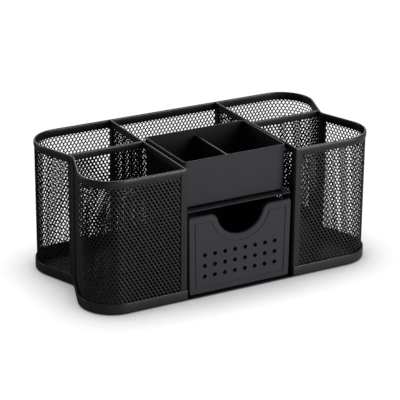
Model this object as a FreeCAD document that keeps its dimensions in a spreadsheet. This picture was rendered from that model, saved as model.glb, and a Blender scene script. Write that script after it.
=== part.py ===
import FreeCAD, Part
import math
import os

import Sketcher

# Desk organizer in black expanded metal, with a plastic drawer and a plastic box above it.
#
# Frame: millimetres, +Z up, origin on the table under the middle of the base.
# +X runs to the right along the front, and the front faces -Y.
# The plan is a rectangle with large round corners and a notch halfway along each end.
# Every wall is described by the middle surface of its mesh: a plan "offset" is the
# distance outwards from that surface.

DRIVING_DIMENSIONS = [
    # outline of the walls, measured on the middle of the mesh
    ("wall_length", 236.0, "end wall to end wall, at the widest place"),
    ("wall_depth", 122.4, "front wall to rear wall"),
    ("corner_radius", 24.0, "round corners of the plan"),
    ("notch_depth", 11.3, "how far the notch in each end wall goes in"),
    ("notch_radius", 9.0, "round bottom of the notch"),
    ("rim_top", 103.0, "height of the top rim above the table"),
    # sheet and strip
    ("mesh_thickness", 0.8, "expanded sheet"),
    ("opening_columns", 12, "diamond openings across the straight rear wall"),
    ("opening_rows", 4, "diamond openings one above another"),
    ("opening_margin", 2.2, "plain edge of a wall sheet above and below its openings"),
    ("opening_strand", 3.5, "strand between two openings"),
    ("strip_thickness", 0.5, "folded edge strip"),
    ("band_height", 5.5, "height of the folded strips along the top"),
    ("post_width", 5.0, "width of the upright folded strips"),
    ("rim_edge", 0.45, "bevel of the fold on the top rim"),
    ("joining_strip_width", 10.0, "strip that joins two meshes in the notch"),
    ("joining_web", 0.6, "web of the joining strip between the two meshes"),
    # base pan
    ("pan_thickness", 0.8, "sheet of the base pan"),
    ("pan_wall_height", 7.3, "turned-up edge of the pan, over its underside"),
    ("pan_clearance", 0.1, "gap between the folded strips and the pan edge"),
    ("foot_height", 1.0, "foam pad under the pan"),
    ("foot_side", 12.0, "square foam pad"),
    ("foot_inset", 30.0, "pad centre from the end and side walls"),
    # dividers
    ("bay_width", 92.8, "middle to middle of the two cross dividers"),
    ("side_divider_setback", 5.8, "side dividers stand behind the middle by this"),
    # shelf over the drawer and the panel behind it
    ("shelf_top", 67.8, "height of the shelf above the table"),
    ("shelf_thickness", 0.8, "sheet of the shelf"),
    ("shelf_front_setback", 3.2, "shelf edge behind the middle of the front wall"),
    ("shelf_edge_radius", 0.35, "rounded front edge"),
    ("shelf_flange_height", 6.0, "turned-down sides of the shelf"),
    ("bay_back_distance", 13.0, "middle of the panel behind the drawer, from the centre"),
    # upper box
    ("box_length", 86.0, "outside, at its top"),
    ("box_front_setback", 9.2, "box front behind the middle of the front wall"),
    ("box_depth", 63.0, "outside, front to back, at its top"),
    ("box_height", 36.0, "outside"),
    ("box_wall", 1.5, "moulded wall and floor"),
    ("box_corner_radius", 3.0, "upright corners"),
    ("box_foot_radius", 1.8, "rounding round the bottom"),
    ("box_draft", 1.4, "degrees that the walls lean out"),
    ("box_divider_drop", 5.0, "divider below the top of the box"),
    ("box_divider_thickness", 1.3, "divider"),
    ("box_edge", 0.4, "bevel of the top edge"),
    ("box_seat_clearance", 0.2, "box bottom above the shelf"),
    # drawer
    ("drawer_front_width", 86.8, "at the top"),
    ("drawer_front_taper", 1.0, "how much less each side stands out at the bottom"),
    ("drawer_front_height", 61.3, "bottom edge to shoulders"),
    ("drawer_front_thickness", 2.2, "moulded front"),
    ("drawer_front_setback", 0.9, "drawer front behind the middle of the front wall"),
    ("drawer_front_corner", 2.0, "rounded corners"),
    ("drawer_edge", 0.6, "bevel round the face of the front"),
    ("drawer_floor_clearance", 0.3, "drawer above the pan"),
    ("drawer_back_clearance", 1.2, "drawer in front of the panel behind it"),
    ("notch_half_width", 25.5, "finger notch: shoulder tangent from the middle"),
    ("notch_drop", 19.2, "finger notch: depth below the shoulders"),
    ("notch_shoulder_radius", 6.5, "finger notch: rounding into the top edge"),
    ("tray_width", 82.0, "drawer tray, outside"),
    ("tray_height", 57.0, "drawer tray walls"),
    ("tray_wall", 1.6, "moulded wall"),
    ("tray_floor", 1.6, "moulded floor"),
    ("tray_corner_radius", 4.0, "upright corners at the back"),
    ("groove_inset", 4.6, "groove in the face, from its outline"),
    ("groove_width", 0.9, "groove"),
    ("groove_depth", 0.5, "groove"),
    ("hole_diameter", 3.4, "round holes in the front"),
    ("hole_pitch", 8.5, "between holes, both ways"),
    ("hole_row_height", 13.3, "lowest row above the bottom edge"),
    ("hole_columns", 8, "holes in a row"),
    ("hole_rows", 3, "rows"),
]

# Heights and offsets that several pieces share, as expressions on the sheet.
MESH_FACE = "(dim.mesh_thickness / 2)"
STRIP_FACE = "(dim.mesh_thickness / 2 + dim.strip_thickness)"
STRIP_WIDTH = "(dim.mesh_thickness + 2 * dim.strip_thickness)"
PAN_INNER = f"({STRIP_FACE} + dim.pan_clearance)"
PAN_OUTER = f"({PAN_INNER} + dim.pan_thickness)"
PAN_BOTTOM = "dim.foot_height"
FLOOR = "(dim.foot_height + dim.pan_thickness)"
RIM_TOP = "dim.rim_top"
RIM_BOTTOM = "(dim.rim_top - dim.band_height)"
MESH_TOP = "(dim.rim_top - dim.strip_thickness)"
HALF_LENGTH = "(dim.wall_length / 2)"
HALF_DEPTH = "(dim.wall_depth / 2)"
BAY_HALF = "(dim.bay_width / 2)"
BAY_FACE = f"({BAY_HALF} - {STRIP_FACE})"
STRIP_INSIDE_DEPTH = f"({HALF_DEPTH} - {STRIP_FACE})"
SHELF_BOTTOM = "(dim.shelf_top - dim.shelf_thickness)"
BAY_BACK_FRONT = f"(dim.bay_back_distance - {MESH_FACE})"
BAY_BACK_REAR = f"(dim.bay_back_distance + {MESH_FACE})"
DRAWER_BOTTOM = f"({FLOOR} + dim.drawer_floor_clearance)"
DRAWER_FACE = f"({HALF_DEPTH} - dim.drawer_front_setback)"
DRAWER_SHOULDER = f"({DRAWER_BOTTOM} + dim.drawer_front_height)"
BOX_BOTTOM = "(dim.shelf_top + dim.box_seat_clearance)"
FAR = f"({HALF_LENGTH} + {HALF_DEPTH})"

# The walls are expanded sheet. Here its diamonds are drawn larger and fewer, in the same
# proportions and with the same share of open area.
STRAIGHT_END = f"({HALF_LENGTH} - dim.corner_radius)"
OPENING_PITCH = f"(2 * {STRAIGHT_END} / dim.opening_columns)"
OPENING_RISE = f"(({MESH_TOP} - {FLOOR} - 2 * dim.opening_margin) / dim.opening_rows)"
OPENING_SIDE = f"sqrt({OPENING_PITCH} ^ 2 + {OPENING_RISE} ^ 2)"
OPENING_HALF_WIDTH = f"(({OPENING_PITCH} - dim.opening_strand * {OPENING_SIDE} / {OPENING_RISE}) / 2)"
OPENING_HALF_HEIGHT = f"(({OPENING_RISE} - dim.opening_strand * {OPENING_SIDE} / {OPENING_PITCH}) / 2)"
LOWEST_OPENING = f"({FLOOR} + dim.opening_margin + {OPENING_RISE} / 2)"
FRONT_COLUMNS = f"floor(({STRAIGHT_END} - {BAY_FACE}) / {OPENING_PITCH})"
FLANK_COLUMN = f"((dim.joining_strip_width + {OPENING_PITCH}) / 2)"

SIDES = (("left", -1), ("right", 1))

# Names for the numbers by which a sketch knows the points of an edge and its own axes.
START, END, CENTRE = 1, 2, 3
HORIZONTAL_AXIS, VERTICAL_AXIS = -1, -2
ORIGIN = (HORIZONTAL_AXIS, START)

document = FreeCAD.newDocument("pen_stand")


def make_dimension_sheet():
    """Writes the driving dimensions as plain numbers, each with its alias."""
    sheet = document.addObject("Spreadsheet::Sheet", "dim")
    for row, (alias, value, note) in enumerate(DRIVING_DIMENSIONS, start=1):
        sheet.set(f"A{row}", alias)
        sheet.set(f"B{row}", str(value))
        sheet.set(f"C{row}", note)
        sheet.setAlias(f"B{row}", alias)
    document.recompute()
    return sheet


sheet = make_dimension_sheet()


def number(expression):
    """The present value of an expression on the sheet."""
    return float(sheet.evalExpression(str(expression)))


# ---------------------------------------------------------------- bodies and sketches


def new_body(label):
    body = document.addObject("PartDesign::Body", label)
    body.Label = label
    body.Placement = FreeCAD.Placement()
    return body


def new_sketch(body, role, offset="0"):
    """A sketch on one of the body's own origin planes, moved along the plane's normal.

    XY_Plane looks along Z. XZ_Plane shows x and z, and its normal is -Y.
    YZ_Plane shows y and z, and its normal is +X.
    """
    sketch = body.newObject("Sketcher::SketchObject", f"{body.Name}_sketch")
    plane = [item for item in body.Origin.OriginFeatures if item.Role == role][0]
    sketch.AttachmentSupport = [(plane, "")]
    sketch.MapMode = "FlatFace"
    sketch.setExpression("AttachmentOffset.Base.z", str(offset))
    return sketch


def bind(sketch, kind, references, expression):
    """Adds a driving constraint and binds it to an expression on the sheet."""
    value = number(expression)
    index = sketch.addConstraint(Sketcher.Constraint(kind, *references, value))
    sketch.setExpression(f"Constraints[{index}]", str(expression))
    return index


def place_point(sketch, edge, point, x, y):
    """Fixes a point of an edge at x, y, both given as expressions."""
    bind(sketch, "DistanceX", (*ORIGIN, edge, point), x)
    bind(sketch, "DistanceY", (*ORIGIN, edge, point), y)


def add_polygon(sketch, corners):
    """A closed polygon through corners, which are pairs of expressions."""
    points = [FreeCAD.Vector(number(x), number(y), 0) for x, y in corners]
    edges = []
    for start, end in zip(points, points[1:] + points[:1]):
        edges.append(sketch.addGeometry(Part.LineSegment(start, end), False))
    for edge, following in zip(edges, edges[1:] + edges[:1]):
        sketch.addConstraint(Sketcher.Constraint("Coincident", edge, END, following, START))
    for edge, (x, y) in zip(edges, corners):
        place_point(sketch, edge, START, x, y)
    return edges


def add_rectangle(sketch, x_low, x_high, y_low, y_high):
    corners = [(x_low, y_low), (x_high, y_low), (x_high, y_high), (x_low, y_high)]
    return add_polygon(sketch, corners)


def arc(centre_x, centre_y, radius, start, end):
    circle = Part.Circle(FreeCAD.Vector(centre_x, centre_y, 0), FreeCAD.Vector(0, 0, 1), radius)
    return Part.ArcOfCircle(circle, start, end)


def line(start, end):
    return Part.LineSegment(FreeCAD.Vector(*start, 0), FreeCAD.Vector(*end, 0))


def flank_angle():
    """Direction, from the X axis, of the normal of the straight flank of the right notch.

    The flank touches the corner's arc from outside and the notch's arc from inside.
    """
    corner_x = number(f"{HALF_LENGTH} - dim.corner_radius")
    corner_y = number(f"{HALF_DEPTH} - dim.corner_radius")
    notch_x = number(f"{HALF_LENGTH} - dim.notch_depth + dim.notch_radius")
    distance = math.hypot(notch_x - corner_x, corner_y)
    towards_notch = math.atan2(-corner_y, notch_x - corner_x)
    return towards_notch + math.acos(number("dim.corner_radius + dim.notch_radius") / distance)


def add_outline(sketch, offset):
    """The closed plan outline, moved outwards by offset: lines and tangent arcs."""
    corner_x = f"{HALF_LENGTH} - dim.corner_radius"
    corner_y = f"{HALF_DEPTH} - dim.corner_radius"
    corner_r = f"dim.corner_radius + {offset}"
    notch_x = f"{HALF_LENGTH} - dim.notch_depth + dim.notch_radius"
    notch_r = f"dim.notch_radius - {offset}"
    cx, cy, cr = number(corner_x), number(corner_y), number(corner_r)
    nx, nr = number(notch_x), number(notch_r)
    flank = flank_angle()
    top = cy + cr
    corner_end = (cx + cr * math.cos(flank), cy + cr * math.sin(flank))
    notch_end = (nx - nr * math.cos(flank), -nr * math.sin(flank))
    quarter = math.pi / 2
    shapes = [
        line((-cx, top), (cx, top)),
        arc(cx, cy, cr, flank, quarter),
        line(corner_end, notch_end),
        arc(nx, 0, nr, math.pi + flank, math.pi - flank),
        line((notch_end[0], -notch_end[1]), (corner_end[0], -corner_end[1])),
        arc(cx, -cy, cr, -quarter, -flank),
        line((cx, -top), (-cx, -top)),
        arc(-cx, -cy, cr, math.pi + flank, math.pi + quarter),
        line((-corner_end[0], -corner_end[1]), (-notch_end[0], -notch_end[1])),
        arc(-nx, 0, nr, flank, -flank),
        line((-notch_end[0], notch_end[1]), (-corner_end[0], corner_end[1])),
        arc(-cx, cy, cr, quarter, math.pi - flank),
    ]
    first = [sketch.addGeometry(shape, False) for shape in shapes][0]
    rear, rear_right, _, notch_right, _, front_right = range(first, first + 6)
    front_left, notch_left, rear_left = first + 7, first + 9, first + 11
    joints = [(0, END, 1, END), (1, START, 2, START), (2, END, 3, START), (3, END, 4, START),
              (4, END, 5, END), (5, START, 6, START), (6, END, 7, END), (7, START, 8, START),
              (8, END, 9, START), (9, END, 10, START), (10, END, 11, END), (11, START, 0, START)]
    for edge, point, other, other_point in joints:
        sketch.addConstraint(
            Sketcher.Constraint("Tangent", first + edge, point, first + other, other_point))
    for corner in (front_right, front_left, rear_left):
        sketch.addConstraint(Sketcher.Constraint("Equal", rear_right, corner))
    sketch.addConstraint(Sketcher.Constraint("Equal", notch_right, notch_left))
    for near, far, axis in ((rear_right, rear_left, VERTICAL_AXIS),
                            (rear_right, front_right, HORIZONTAL_AXIS),
                            (front_right, front_left, VERTICAL_AXIS),
                            (notch_right, notch_left, VERTICAL_AXIS)):
        sketch.addConstraint(Sketcher.Constraint("Symmetric", near, CENTRE, far, CENTRE, axis))
    place_point(sketch, rear_right, CENTRE, corner_x, corner_y)
    bind(sketch, "Radius", (rear_right,), corner_r)
    sketch.addConstraint(
        Sketcher.Constraint("PointOnObject", notch_right, CENTRE, HORIZONTAL_AXIS))
    bind(sketch, "DistanceX", (*ORIGIN, notch_right, CENTRE), notch_x)
    bind(sketch, "Radius", (notch_right,), notch_r)


# ---------------------------------------------------------------- features


def pad(body, sketch, length, both_sides=False, draft=None):
    """Adds the sketch, thickened along its normal."""
    feature = body.newObject("PartDesign::Pad", f"{body.Name}_pad")
    feature.Profile = sketch
    feature.SideType = "Symmetric" if both_sides else "One side"
    feature.setExpression("Length", str(length))
    if draft is not None:
        feature.setExpression("TaperAngle", draft)
    sketch.Visibility = False
    document.recompute()
    return feature


def pocket(body, sketch, length=None, along_normal=False):
    """Removes the sketch: against its normal, along it, or everywhere if length is None."""
    before = body.Shape.Volume
    feature = body.newObject("PartDesign::Pocket", f"{body.Name}_pocket")
    feature.Profile = sketch
    if length is None:
        feature.Type = "ThroughAll"
        feature.SideType = "Symmetric"
    else:
        feature.setExpression("Length", str(length))
        feature.Reversed = along_normal
    sketch.Visibility = False
    document.recompute()
    if not body.Shape.Volume < before:
        raise RuntimeError(f"a pocket in {body.Label} removes nothing")
    return feature


def repeat(body, feature, sketch, *runs):
    """Repeats a pocket along one or two axes of its sketch; a run is an axis, a count and a pitch."""
    pattern = body.newObject("PartDesign::LinearPattern", f"{body.Name}_pattern")
    pattern.Originals = [feature]
    for suffix, (axis, count, pitch) in zip(("", "2"), runs):
        setattr(pattern, f"Direction{suffix}", (sketch, [axis]))
        setattr(pattern, f"Mode{suffix}", "Extent")
        pattern.setExpression(f"Length{suffix}", f"{pitch} * ({count} - 1)")
        pattern.setExpression(f"Occurrences{suffix}", str(count))
    body.Tip = pattern
    document.recompute()
    return pattern


def dress_edges(body, kind, size_name, size, chosen):
    """Adds a fillet or chamfer on the edges for which chosen(edge) is true."""
    tip = body.Tip
    names = [f"Edge{index}" for index, edge in enumerate(tip.Shape.Edges, start=1) if chosen(edge)]
    feature = body.newObject(f"PartDesign::{kind}", f"{body.Name}_{kind.lower()}")
    feature.Base = (tip, names)
    feature.setExpression(size_name, size)
    document.recompute()
    return feature


def fillet(body, radius, chosen):
    return dress_edges(body, "Fillet", "Radius", radius, chosen)


def chamfer(body, size, chosen):
    return dress_edges(body, "Chamfer", "Size", size, chosen)


def face_names(feature, chosen):
    """Names of the feature's faces for which chosen(face) is true."""
    faces = enumerate(feature.Shape.Faces, start=1)
    return [f"Face{index}" for index, face in faces if chosen(face)]


def same(value, expression):
    return abs(value - number(expression)) < 1e-4


def lies_at_height(shape, height):
    """True for an edge or a face that lies wholly at one height."""
    return same(shape.BoundBox.ZMin, height) and same(shape.BoundBox.ZMax, height)


def is_upright(edge):
    """True for a straight edge that is parallel to Z."""
    box = edge.BoundBox
    return box.XLength < 1e-4 and box.YLength < 1e-4


def keep_window(body, x_low, x_high, y_low, y_high):
    """Cuts away all of the body outside a rectangle in plan."""
    sketch = new_sketch(body, "XY_Plane")
    add_rectangle(sketch, f"-2 * {FAR}", f"2 * {FAR}", f"-2 * {FAR}", f"2 * {FAR}")
    add_rectangle(sketch, x_low, x_high, y_low, y_high)
    pocket(body, sketch)


def trim_to_walls(body, offset):
    """Cuts away all of the body that lies outside the plan outline at this offset."""
    sketch = new_sketch(body, "XY_Plane")
    add_rectangle(sketch, f"-2 * {FAR}", f"2 * {FAR}", f"-2 * {FAR}", f"2 * {FAR}")
    add_outline(sketch, offset)
    pocket(body, sketch)


def add_wall_ring(body, inner, outer, bottom, height):
    """A wall that follows the plan outline all round, between two offsets."""
    sketch = new_sketch(body, "XY_Plane", bottom)
    add_outline(sketch, outer)
    add_outline(sketch, inner)
    pad(body, sketch, height)


def mirrored_range(side, near, far):
    """Low and high x of a stretch that lies from near to far on one side of the middle."""
    if side > 0:
        return str(near), str(far)
    return f"-({far})", f"-({near})"


# ---------------------------------------------------------------- base


def make_base_pan():
    """Pressed sheet pan: a floor with a turned-up edge that is left out across the bay."""
    body = new_body("base_pan")
    floor_sketch = new_sketch(body, "XY_Plane", PAN_BOTTOM)
    add_outline(floor_sketch, PAN_OUTER)
    pad(body, floor_sketch, "dim.pan_wall_height")
    hollow = new_sketch(body, "XY_Plane", FLOOR)
    add_outline(hollow, PAN_INNER)
    pocket(body, hollow, "dim.pan_wall_height", along_normal=True)
    opening = new_sketch(body, "XY_Plane", FLOOR)
    add_rectangle(opening, f"-{BAY_FACE}", BAY_FACE, f"-{FAR}", f"-{STRIP_INSIDE_DEPTH}")
    pocket(body, opening, "dim.pan_wall_height", along_normal=True)
    return body


def make_feet():
    """Four foam pads under the pan."""
    feet = []
    for end, y_side in (("front", -1), ("rear", 1)):
        for name, x_side in SIDES:
            body = new_body(f"foot_{end}_{name}")
            sketch = new_sketch(body, "XY_Plane")
            x = f"{x_side} * ({HALF_LENGTH} - dim.foot_inset)"
            y = f"{y_side} * ({HALF_DEPTH} - dim.foot_inset)"
            add_rectangle(sketch, f"{x} - dim.foot_side / 2", f"{x} + dim.foot_side / 2",
                          f"{y} - dim.foot_side / 2", f"{y} + dim.foot_side / 2")
            pad(body, sketch, "dim.foot_height")
            feet.append(body)
    return feet


# ---------------------------------------------------------------- outer walls


def cut_openings(body, plane, place, columns="1", between=False):
    """Cuts a grid of diamond openings through a sheet, along the plane's normal.

    place is the middle of the first column. A grid that goes between the openings of
    another stands half a step higher and has one row less.
    """
    rows, level = "dim.opening_rows", LOWEST_OPENING
    if between:
        rows, level = f"({rows} - 1)", f"({level} + {OPENING_RISE} / 2)"
    sketch = new_sketch(body, plane)
    add_polygon(sketch, [
        (f"{place} - {OPENING_HALF_WIDTH}", level),
        (place, f"{level} - {OPENING_HALF_HEIGHT}"),
        (f"{place} + {OPENING_HALF_WIDTH}", level),
        (place, f"{level} + {OPENING_HALF_HEIGHT}"),
    ])
    runs = [("V_Axis", rows, OPENING_RISE)]
    if columns != "1":
        runs.append(("H_Axis", columns, OPENING_PITCH))
    repeat(body, pocket(body, sketch), sketch, *runs)


def pierce_straight(body, first, columns):
    """Opens the straight part of a wall sheet from the column at first."""
    cut_openings(body, "XZ_Plane", first, columns)
    cut_openings(body, "XZ_Plane", f"({first} + {OPENING_PITCH} / 2)", f"({columns} - 1)", between=True)


def pierce_flank(body, side):
    """Opens the flanks of a wall sheet in front of the notch (side -1) or behind it (side 1)."""
    cut_openings(body, "YZ_Plane", f"{side} * {FLANK_COLUMN}")
    cut_openings(body, "YZ_Plane", f"{side} * ({FLANK_COLUMN} + {OPENING_PITCH} / 2)", between=True)


def make_rear_wall_mesh():
    """One expanded sheet from notch to notch, round the back."""
    body = new_body("rear_wall_mesh")
    add_wall_ring(body, f"-{MESH_FACE}", MESH_FACE, FLOOR, f"{MESH_TOP} - {FLOOR}")
    keep_window(body, f"-{FAR}", FAR, "dim.joining_web / 2", FAR)
    pierce_straight(body, f"({OPENING_PITCH} / 2 - {STRAIGHT_END})", "dim.opening_columns")
    pierce_flank(body, 1)
    return body


def make_front_wall_mesh(name, side):
    """An expanded sheet from the notch, round the front corner, to the post."""
    body = new_body(f"front_wall_mesh_{name}")
    add_wall_ring(body, f"-{MESH_FACE}", MESH_FACE, FLOOR, f"{MESH_TOP} - {FLOOR}")
    x_low, x_high = mirrored_range(side, f"{BAY_FACE} + dim.strip_thickness", FAR)
    keep_window(body, x_low, x_high, f"-{FAR}", "-dim.joining_web / 2")
    if side > 0:
        first = f"({STRAIGHT_END} - {OPENING_PITCH} * ({FRONT_COLUMNS} - 0.5))"
    else:
        first = f"({OPENING_PITCH} / 2 - {STRAIGHT_END})"
    pierce_straight(body, first, FRONT_COLUMNS)
    pierce_flank(body, -1)
    return body


def make_top_rim():
    """A strip folded over the mesh, from post to post, with mitred ends and a bevelled fold."""
    body = new_body("top_rim")
    add_wall_ring(body, f"-{STRIP_FACE}", STRIP_FACE, RIM_BOTTOM, "dim.band_height")
    chamfer(body, "dim.rim_edge", lambda edge: lies_at_height(edge, RIM_TOP))
    slot = new_sketch(body, "XY_Plane", RIM_BOTTOM)
    add_outline(slot, MESH_FACE)
    add_outline(slot, f"-{MESH_FACE}")
    pocket(body, slot, f"{MESH_TOP} - {RIM_BOTTOM}", along_normal=True)
    opening = new_sketch(body, "XY_Plane", RIM_BOTTOM)
    add_rectangle(opening, f"-{BAY_FACE}", BAY_FACE, f"-{FAR}", f"-{STRIP_INSIDE_DEPTH} + 1")
    pocket(body, opening, "2 * dim.band_height", along_normal=True)
    mitres = new_sketch(body, "XZ_Plane", f"{STRIP_INSIDE_DEPTH}")
    for _, side in SIDES:
        x_end = f"{side} * {BAY_FACE}"
        x_foot = f"{side} * ({BAY_FACE} + dim.post_width)"
        add_polygon(mitres, [(x_end, RIM_TOP), (x_foot, RIM_BOTTOM), (x_end, RIM_BOTTOM)])
    pocket(body, mitres, STRIP_WIDTH, along_normal=True)
    return body


def make_front_post(name, side):
    """An upright folded strip over the end of the mesh, mitred into the rim."""
    body = new_body(f"front_post_{name}")
    x_bay = f"{side} * {BAY_FACE}"
    x_web = f"{side} * ({BAY_FACE} + dim.strip_thickness)"
    x_far = f"{side} * ({BAY_FACE} + dim.post_width)"
    strip = new_sketch(body, "XZ_Plane", STRIP_INSIDE_DEPTH)
    add_polygon(strip, [(x_bay, FLOOR), (x_far, FLOOR), (x_far, RIM_BOTTOM), (x_bay, RIM_TOP)])
    pad(body, strip, STRIP_WIDTH)
    slot = new_sketch(body, "XZ_Plane", f"{HALF_DEPTH} - {MESH_FACE}")
    add_rectangle(slot, x_web, x_far, FLOOR, RIM_TOP)
    pocket(body, slot, "dim.mesh_thickness", along_normal=True)
    return body


def make_joining_strip(name, side):
    """An H-shaped strip at the bottom of the notch, which holds both meshes."""
    body = new_body(f"joining_strip_{name}")
    x_low, x_high = mirrored_range(side, BAY_HALF, FAR)
    half_width = "dim.joining_strip_width / 2"
    height = f"{RIM_BOTTOM} - {FLOOR}"
    add_wall_ring(body, f"-{STRIP_FACE}", STRIP_FACE, FLOOR, height)
    keep_window(body, x_low, x_high, f"-{half_width}", half_width)
    slots = new_sketch(body, "XY_Plane", FLOOR)
    add_outline(slots, MESH_FACE)
    add_outline(slots, f"-{MESH_FACE}")
    pocket(body, slots, height, along_normal=True)
    web = new_sketch(body, "XY_Plane", FLOOR)
    x_notch = f"{HALF_LENGTH} - dim.notch_depth"
    web_low, web_high = mirrored_range(side, f"{x_notch} - {STRIP_FACE}", f"{x_notch} + {STRIP_FACE}")
    add_rectangle(web, web_low, web_high, "-dim.joining_web / 2", "dim.joining_web / 2")
    pad(body, web, height)
    return body


# ---------------------------------------------------------------- dividers


def make_cross_divider(name, side):
    """A mesh panel beside the bay and the folded strip round its front, top and rear edges."""
    y_front = f"-{STRIP_INSIDE_DEPTH}"
    y_rear = f"{HALF_DEPTH} - {MESH_FACE}"
    y_rear_rim = STRIP_INSIDE_DEPTH
    centre = f"{side} * {BAY_HALF}"

    frame = new_body(f"cross_divider_frame_{name}")
    strip = new_sketch(frame, "YZ_Plane", centre)
    add_polygon(strip, [
        (y_front, FLOOR),
        (y_front, RIM_TOP),
        (y_rear_rim, RIM_TOP),
        (y_rear_rim, RIM_BOTTOM),
        (y_rear, RIM_BOTTOM),
        (y_rear, FLOOR),
        (f"{y_rear} - dim.post_width", FLOOR),
        (f"{y_rear} - dim.post_width", RIM_BOTTOM),
        (f"{y_front} + dim.post_width", RIM_BOTTOM),
        (f"{y_front} + dim.post_width", FLOOR),
    ])
    pad(frame, strip, STRIP_WIDTH, both_sides=True)

    def mesh_outline(body):
        sketch = new_sketch(body, "YZ_Plane", centre)
        add_rectangle(sketch, f"{y_front} + dim.strip_thickness",
                      f"{y_rear} - dim.strip_thickness", FLOOR, MESH_TOP)
        return sketch

    slot = frame.newObject("PartDesign::Pocket", f"{frame.Name}_slot")
    slot.Profile = mesh_outline(frame)
    slot.SideType = "Symmetric"
    slot.setExpression("Length", "dim.mesh_thickness")
    document.recompute()

    mesh = new_body(f"cross_divider_mesh_{name}")
    pad(mesh, mesh_outline(mesh), "dim.mesh_thickness", both_sides=True)
    return [frame, mesh]


def make_side_divider(name, side):
    """A mesh panel across the end bay, from cross divider to notch, and its top strip."""
    near = f"{BAY_HALF} + {STRIP_FACE}"
    x_low, x_high = mirrored_range(side, near, FAR)
    centre = f"-dim.side_divider_setback"

    band = new_body(f"side_divider_band_{name}")
    strip = new_sketch(band, "XZ_Plane", centre)
    add_rectangle(strip, x_low, x_high, RIM_BOTTOM, RIM_TOP)
    pad(band, strip, STRIP_WIDTH, both_sides=True)
    trim_to_walls(band, f"-{STRIP_FACE}")
    slot = new_sketch(band, "XZ_Plane", f"{centre} + {MESH_FACE}")
    add_rectangle(slot, x_low, x_high, RIM_BOTTOM, MESH_TOP)
    pocket(band, slot, "dim.mesh_thickness")

    mesh = new_body(f"side_divider_mesh_{name}")
    panel = new_sketch(mesh, "XZ_Plane", centre)
    add_rectangle(panel, x_low, x_high, FLOOR, MESH_TOP)
    pad(mesh, panel, "dim.mesh_thickness", both_sides=True)
    trim_to_walls(mesh, f"-{STRIP_FACE}")
    return [band, mesh]


# ---------------------------------------------------------------- bay


def make_shelf():
    """A sheet over the drawer, with a rounded front edge and turned-down sides."""
    body = new_body("shelf")
    y_front = f"-({HALF_DEPTH} - dim.shelf_front_setback)"
    plate = new_sketch(body, "XY_Plane", SHELF_BOTTOM)
    add_rectangle(plate, f"-{BAY_FACE}", BAY_FACE, y_front, BAY_BACK_REAR)
    pad(body, plate, "dim.shelf_thickness")
    fillet(body, "dim.shelf_edge_radius",
           lambda edge: same(edge.BoundBox.YMax, y_front) and not is_upright(edge))
    flanges = new_sketch(body, "XY_Plane", f"{SHELF_BOTTOM} - dim.shelf_flange_height")
    for _, side in SIDES:
        x_low, x_high = mirrored_range(side, f"{BAY_FACE} - dim.shelf_thickness", BAY_FACE)
        add_rectangle(flanges, x_low, x_high, f"{y_front} + dim.shelf_flange_height", BAY_BACK_FRONT)
    pad(body, flanges, "dim.shelf_flange_height")
    return body


def make_bay_back():
    """A mesh panel behind the drawer, under the shelf."""
    body = new_body("bay_back_mesh")
    sketch = new_sketch(body, "XZ_Plane", "-dim.bay_back_distance")
    half_width = f"{BAY_HALF} - {MESH_FACE}"
    add_rectangle(sketch, f"-({half_width})", half_width, FLOOR, SHELF_BOTTOM)
    pad(body, sketch, "dim.mesh_thickness", both_sides=True)
    return body


def make_upper_box():
    """A moulded box: drafted, rounded and shelled, with one divider, open at the top."""
    body = new_body("upper_box")
    half = "(dim.box_length / 2)"
    y_front = f"(-({HALF_DEPTH} - dim.box_front_setback))"
    y_back = f"({y_front} + dim.box_depth)"
    box_top = f"({BOX_BOTTOM} + dim.box_height)"

    outside = new_sketch(body, "XY_Plane", BOX_BOTTOM)
    add_rectangle(outside, f"-{half}", half, y_front, y_back)
    block = pad(body, outside, "dim.box_height")

    drafted = body.newObject("PartDesign::Draft", "upper_box_draft")
    drafted.Base = (block, face_names(block, lambda face: face.BoundBox.ZLength > 1))
    drafted.NeutralPlane = (block, face_names(block, lambda face: lies_at_height(face, box_top)))
    drafted.Reversed = True
    drafted.setExpression("Angle", "dim.box_draft")
    document.recompute()
    fillet(body, "dim.box_corner_radius", lambda edge: edge.BoundBox.ZLength > 1)

    solid_box = body.Tip
    shell = body.newObject("PartDesign::Thickness", "upper_box_shell")
    shell.Base = (solid_box, face_names(solid_box, lambda face: lies_at_height(face, box_top)))
    shell.Mode = "Skin"
    shell.Join = "Arc"
    shell.Reversed = True
    shell.setExpression("Value", "dim.box_wall")
    document.recompute()
    chamfer(body, "dim.box_edge", lambda edge: lies_at_height(edge, box_top))
    fillet(body, "dim.box_foot_radius", lambda edge: lies_at_height(edge, BOX_BOTTOM))

    def wall_middle(height):
        return f"(({box_top} - ({height})) * tan(dim.box_draft * 1 deg) + dim.box_wall / 2)"

    low = f"{BOX_BOTTOM} + dim.box_wall / 2"
    high = f"{box_top} - dim.box_divider_drop"
    divider = new_sketch(body, "YZ_Plane")
    add_polygon(divider, [
        (f"{y_front} + {wall_middle(low)} + dim.box_foot_radius", low),
        (f"{y_back} - {wall_middle(low)} - dim.box_foot_radius", low),
        (f"{y_back} - {wall_middle(low)}", f"{low} + dim.box_foot_radius"),
        (f"{y_back} - {wall_middle(high)}", high),
        (f"{y_front} + {wall_middle(high)}", high),
        (f"{y_front} + {wall_middle(low)}", f"{low} + dim.box_foot_radius"),
    ])
    pad(body, divider, "dim.box_divider_thickness", both_sides=True)
    return body


# ---------------------------------------------------------------- drawer


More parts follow.
